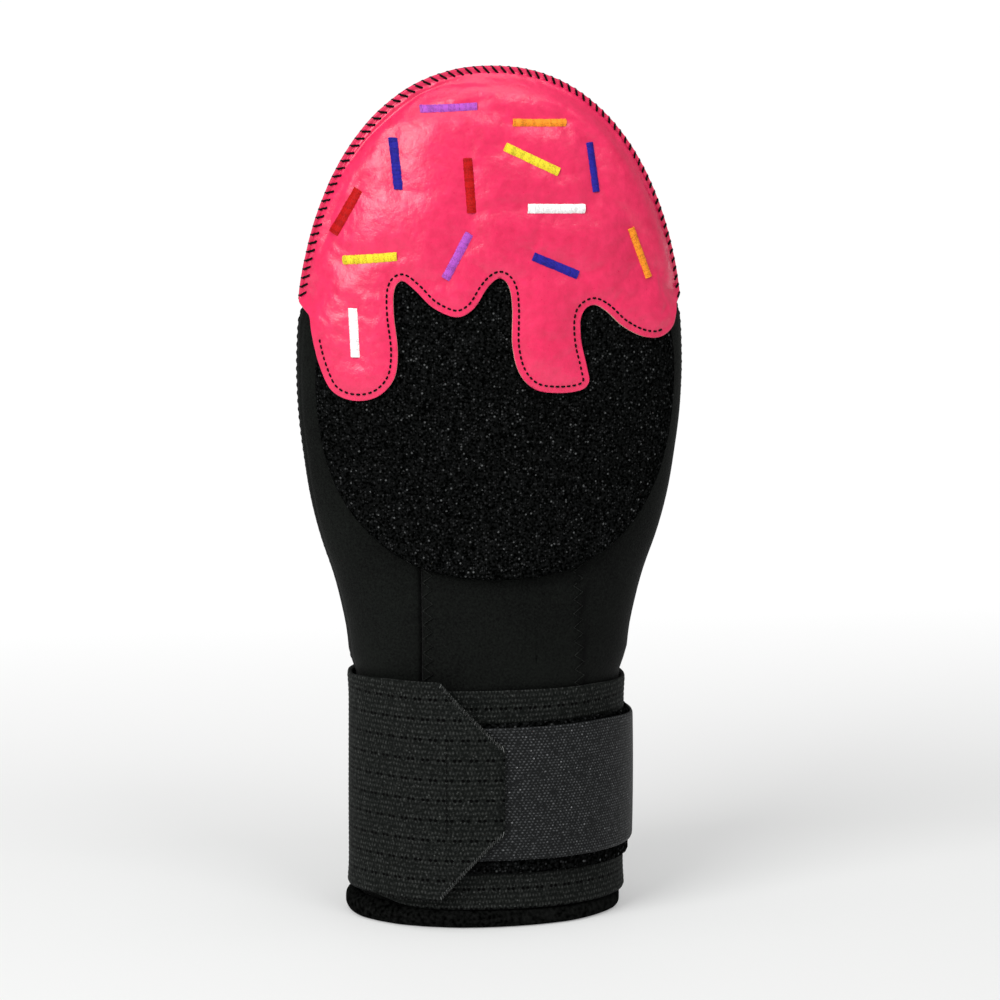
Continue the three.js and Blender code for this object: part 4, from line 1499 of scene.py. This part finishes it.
# %% Tape and pile strip
def hook_material():
    """Stiff grey hooks in slanting rows: dark between them, and a painted glint on one in five."""
    made, tree, shader = new_material("grey_hooks", 0.55, Specular_IOR_Level=0.14)
    flat = place_of(tree, flat=True)
    cloth = use_group(tree, GRAIN, place_of(tree), Grain_Scale=950, Wander_Scale=40)
    hooks = use_group(tree, LATTICE, flat, Across=1.3 * MM, Along=1.0 * MM, Stagger=-0.4)
    grain = math_node(tree, "MULTIPLY_ADD", cloth.outputs["Height"], 2.6, -0.85)
    tone = math_node(tree, "MULTIPLY", math_node(tree, "ADD", hooks.outputs["Height"], 0.15), grain)
    colour = two_tone(tree, tone, (0.005, 0.0056, 0.006), (0.12, 0.126, 0.13), 0.12, 1.0)
    # Painted glints: a few hooks get a near-white colour for the light they catch.
    glint = use_group(tree, SPARKS, place_of(tree), Scale=1000, Rarity=0.8, Size=0.36)
    sparkle = math_node(tree, "MULTIPLY", glint.outputs["Mask"], hooks.outputs["Height"])
    colour = mixed(tree, sparkle, colour, (0.4, 0.41, 0.42))
    tree.links.new(colour, shader.inputs["Base Color"])
    raise_normal(tree, shader, tone, 0.5 * MM)
    return made


HOOK = hook_material()
STRIP_PILE = pile_material("strip_pile", 900, 0.8 * MM)
TAPE_DROOP = 2.6 * MM
LOOP_LOW = LIP_HEIGHT + LOOP_RAISE
HOOK_LOW = LOOP_LOW + HOOK_RAISE
FUZZ = 0.35 * MM
CROWN = 0.25 * MM
STRIP = LOOP_LOW, LOOP_TALL, ON_ELASTIC, LOOP_THICK
HOOKS = HOOK_LOW, HOOK_TALL, ON_LOOP, HOOK_THICK


def tape(name, node_name, low, tall, out, thick, slot, material, fuzz, bulge):
    """A strip sewn round the front, right and back of the strap."""

    def place(u, v):
        degrees = mix(TAPE_FROM, TAPE_TO, u)
        z = low + (tall - TAPE_DROOP * ease(degrees, -50, 10)) * v
        edge = min(v, 1 - v) * tall
        rough = fuzz * noise.noise(Vector((degrees * 1.3, z / (0.8 * MM), 5)))
        round_off = 0.4 * MM * bump(edge, 0, 0.6 * MM)
        return round_wrist(degrees, z, out + thick + rough + bulge * (1 - (2 * v - 1) ** 2) - round_off)

    bm = facing_out(cloth_grid(180, 60, 0.155, tall, place))
    obj = piece(name, bm, slot, [node_name], [material])
    thicken(obj, thick - 0.3 * MM)


tape("pile_strip", "loop_strip", *STRIP, "black_pile", STRIP_PILE, FUZZ, 0)
tape("grey_tape", "hook_tape", *HOOKS, "hook_tape", HOOK, 0, CROWN)

# %% [markdown]
# The picture is plain: a pale floor that glows a little, which paints light into its shadows, and fades
# to glowing white behind, one broad soft light from the upper left, weaker ones from the right and from
# above, and light from everywhere else. The camera stands two metres off, eleven degrees above the floor
# and a little to the left, with a long lens that keeps the sides upright.

# %% Floor, light and camera
CAMERA_AWAY = 2.0
CAMERA_TURN = -7.5
CAMERA_UP = 11.0
PICTURE = 1000
SENSOR = 36.0
METRES_A_PIXEL = 0.363 * MM
AIM_ACROSS = 9.5 * METRES_A_PIXEL
AIM_UP = 404 * METRES_A_PIXEL


def make_camera():
    """A camera with a long lens, aimed near the middle of the mitt."""
    turn, up = math.radians(CAMERA_TURN), math.radians(CAMERA_UP)
    back = Vector((math.sin(turn) * math.cos(up), -math.cos(turn) * math.cos(up), math.sin(up)))
    right = Vector((math.cos(turn), math.sin(turn), 0))
    aim = right * AIM_ACROSS + back.cross(right) * AIM_UP
    camera = bpy.data.objects.new("camera", bpy.data.cameras.new("camera"))
    bpy.context.scene.collection.objects.link(camera)
    camera.data.sensor_width = SENSOR
    camera.data.lens = SENSOR * CAMERA_AWAY / (PICTURE * METRES_A_PIXEL)
    camera.location = aim + back * CAMERA_AWAY
    camera.rotation_mode = "QUATERNION"
    camera.rotation_quaternion = (-back).to_track_quat("-Z", "Y")
    bpy.context.scene.camera = camera
    print("lens", round(camera.data.lens), "mm")


def make_light(name, place, aim, size, power):
    """A soft rectangle of light that looks at a point."""
    lamp = bpy.data.lights.new(name, "AREA")
    lamp.shape = "RECTANGLE"
    lamp.size, lamp.size_y = size
    lamp.energy = power
    obj = bpy.data.objects.new(name, lamp)
    bpy.context.scene.collection.objects.link(obj)
    obj.location = place
    obj.rotation_euler = (Vector(aim) - Vector(place)).to_track_quat("-Z", "Y").to_euler()


def make_floor():
    """A pale floor with painted light: it glows weakly in front and turns to plain white behind the mitt."""
    bm = bmesh.new()
    bmesh.ops.create_grid(bm, x_segments=1, y_segments=1, size=6)
    mesh = bpy.data.meshes.new("floor")
    bm.to_mesh(mesh)
    bm.free()
    floor = bpy.data.objects.new("floor", mesh)
    bpy.context.scene.collection.objects.link(floor)
    floor.location.z = -0.05 * MM
    made, tree, shader = new_material("pale_floor", 0.6, Specular_IOR_Level=0.1)
    place = place_of(tree)
    parts = node(tree, "ShaderNodeSeparateXYZ", {0: place})
    away = node(tree, "ShaderNodeMapRange", {0: parts.outputs["Y"], 1: 0.1, 2: 0.5}).outputs[0]
    near = two_tone(tree, away, (0.57, 0.575, 0.57), (0, 0, 0), 0, 1)
    tree.links.new(near, shader.inputs["Base Color"])
    # Painted light: the floor's glow lightens the shadows in front and makes it plain white behind.
    floor_glow = two_tone(tree, away, (0.3, 0.3, 0.3), (1, 1, 1), 0, 1)
    tree.links.new(floor_glow, shader.inputs["Emission Color"])
    shader.inputs["Emission Strength"].default_value = 1.0
    mesh.materials.append(made)


def make_world(light, seen):
    """Light from everywhere, with a plain white background for the camera."""
    world = bpy.data.worlds.new("studio")
    world.use_nodes = True
    tree = world.node_tree
    around = tree.nodes["Background"]
    around.inputs["Color"].default_value = (1, 1, 1, 1)
    around.inputs["Strength"].default_value = light
    behind = node(tree, "ShaderNodeBackground", {"Strength": seen})
    rays = node(tree, "ShaderNodeLightPath")
    both = node(tree, "ShaderNodeMixShader", {0: rays.outputs["Is Camera Ray"]})
    tree.links.new(around.outputs[0], both.inputs[1])
    tree.links.new(behind.outputs[0], both.inputs[2])
    tree.links.new(both.outputs[0], tree.nodes["World Output"].inputs["Surface"])
    bpy.context.scene.world = world


WORLD_LIGHT = 0.31
WORLD_SEEN = 1.0
make_camera()
make_floor()
make_world(WORLD_LIGHT, WORLD_SEEN)
MIDDLE = (0, 0, HEIGHT / 2)
make_light("key", (-1.15, -1.15, 1.3), MIDDLE, (1.1, 1.1), 28)
make_light("fill", (1.2, -1.2, 0.7), MIDDLE, (0.9, 1.2), 0.6)
make_light("above", (0.55, -1.1, 1.7), MIDDLE, (0.7, 0.5), 7)
make_light("top", (0, -0.2, 1.8), MIDDLE, (1.4, 1.0), 9)
bpy.context.scene.view_settings.view_transform = "Standard"
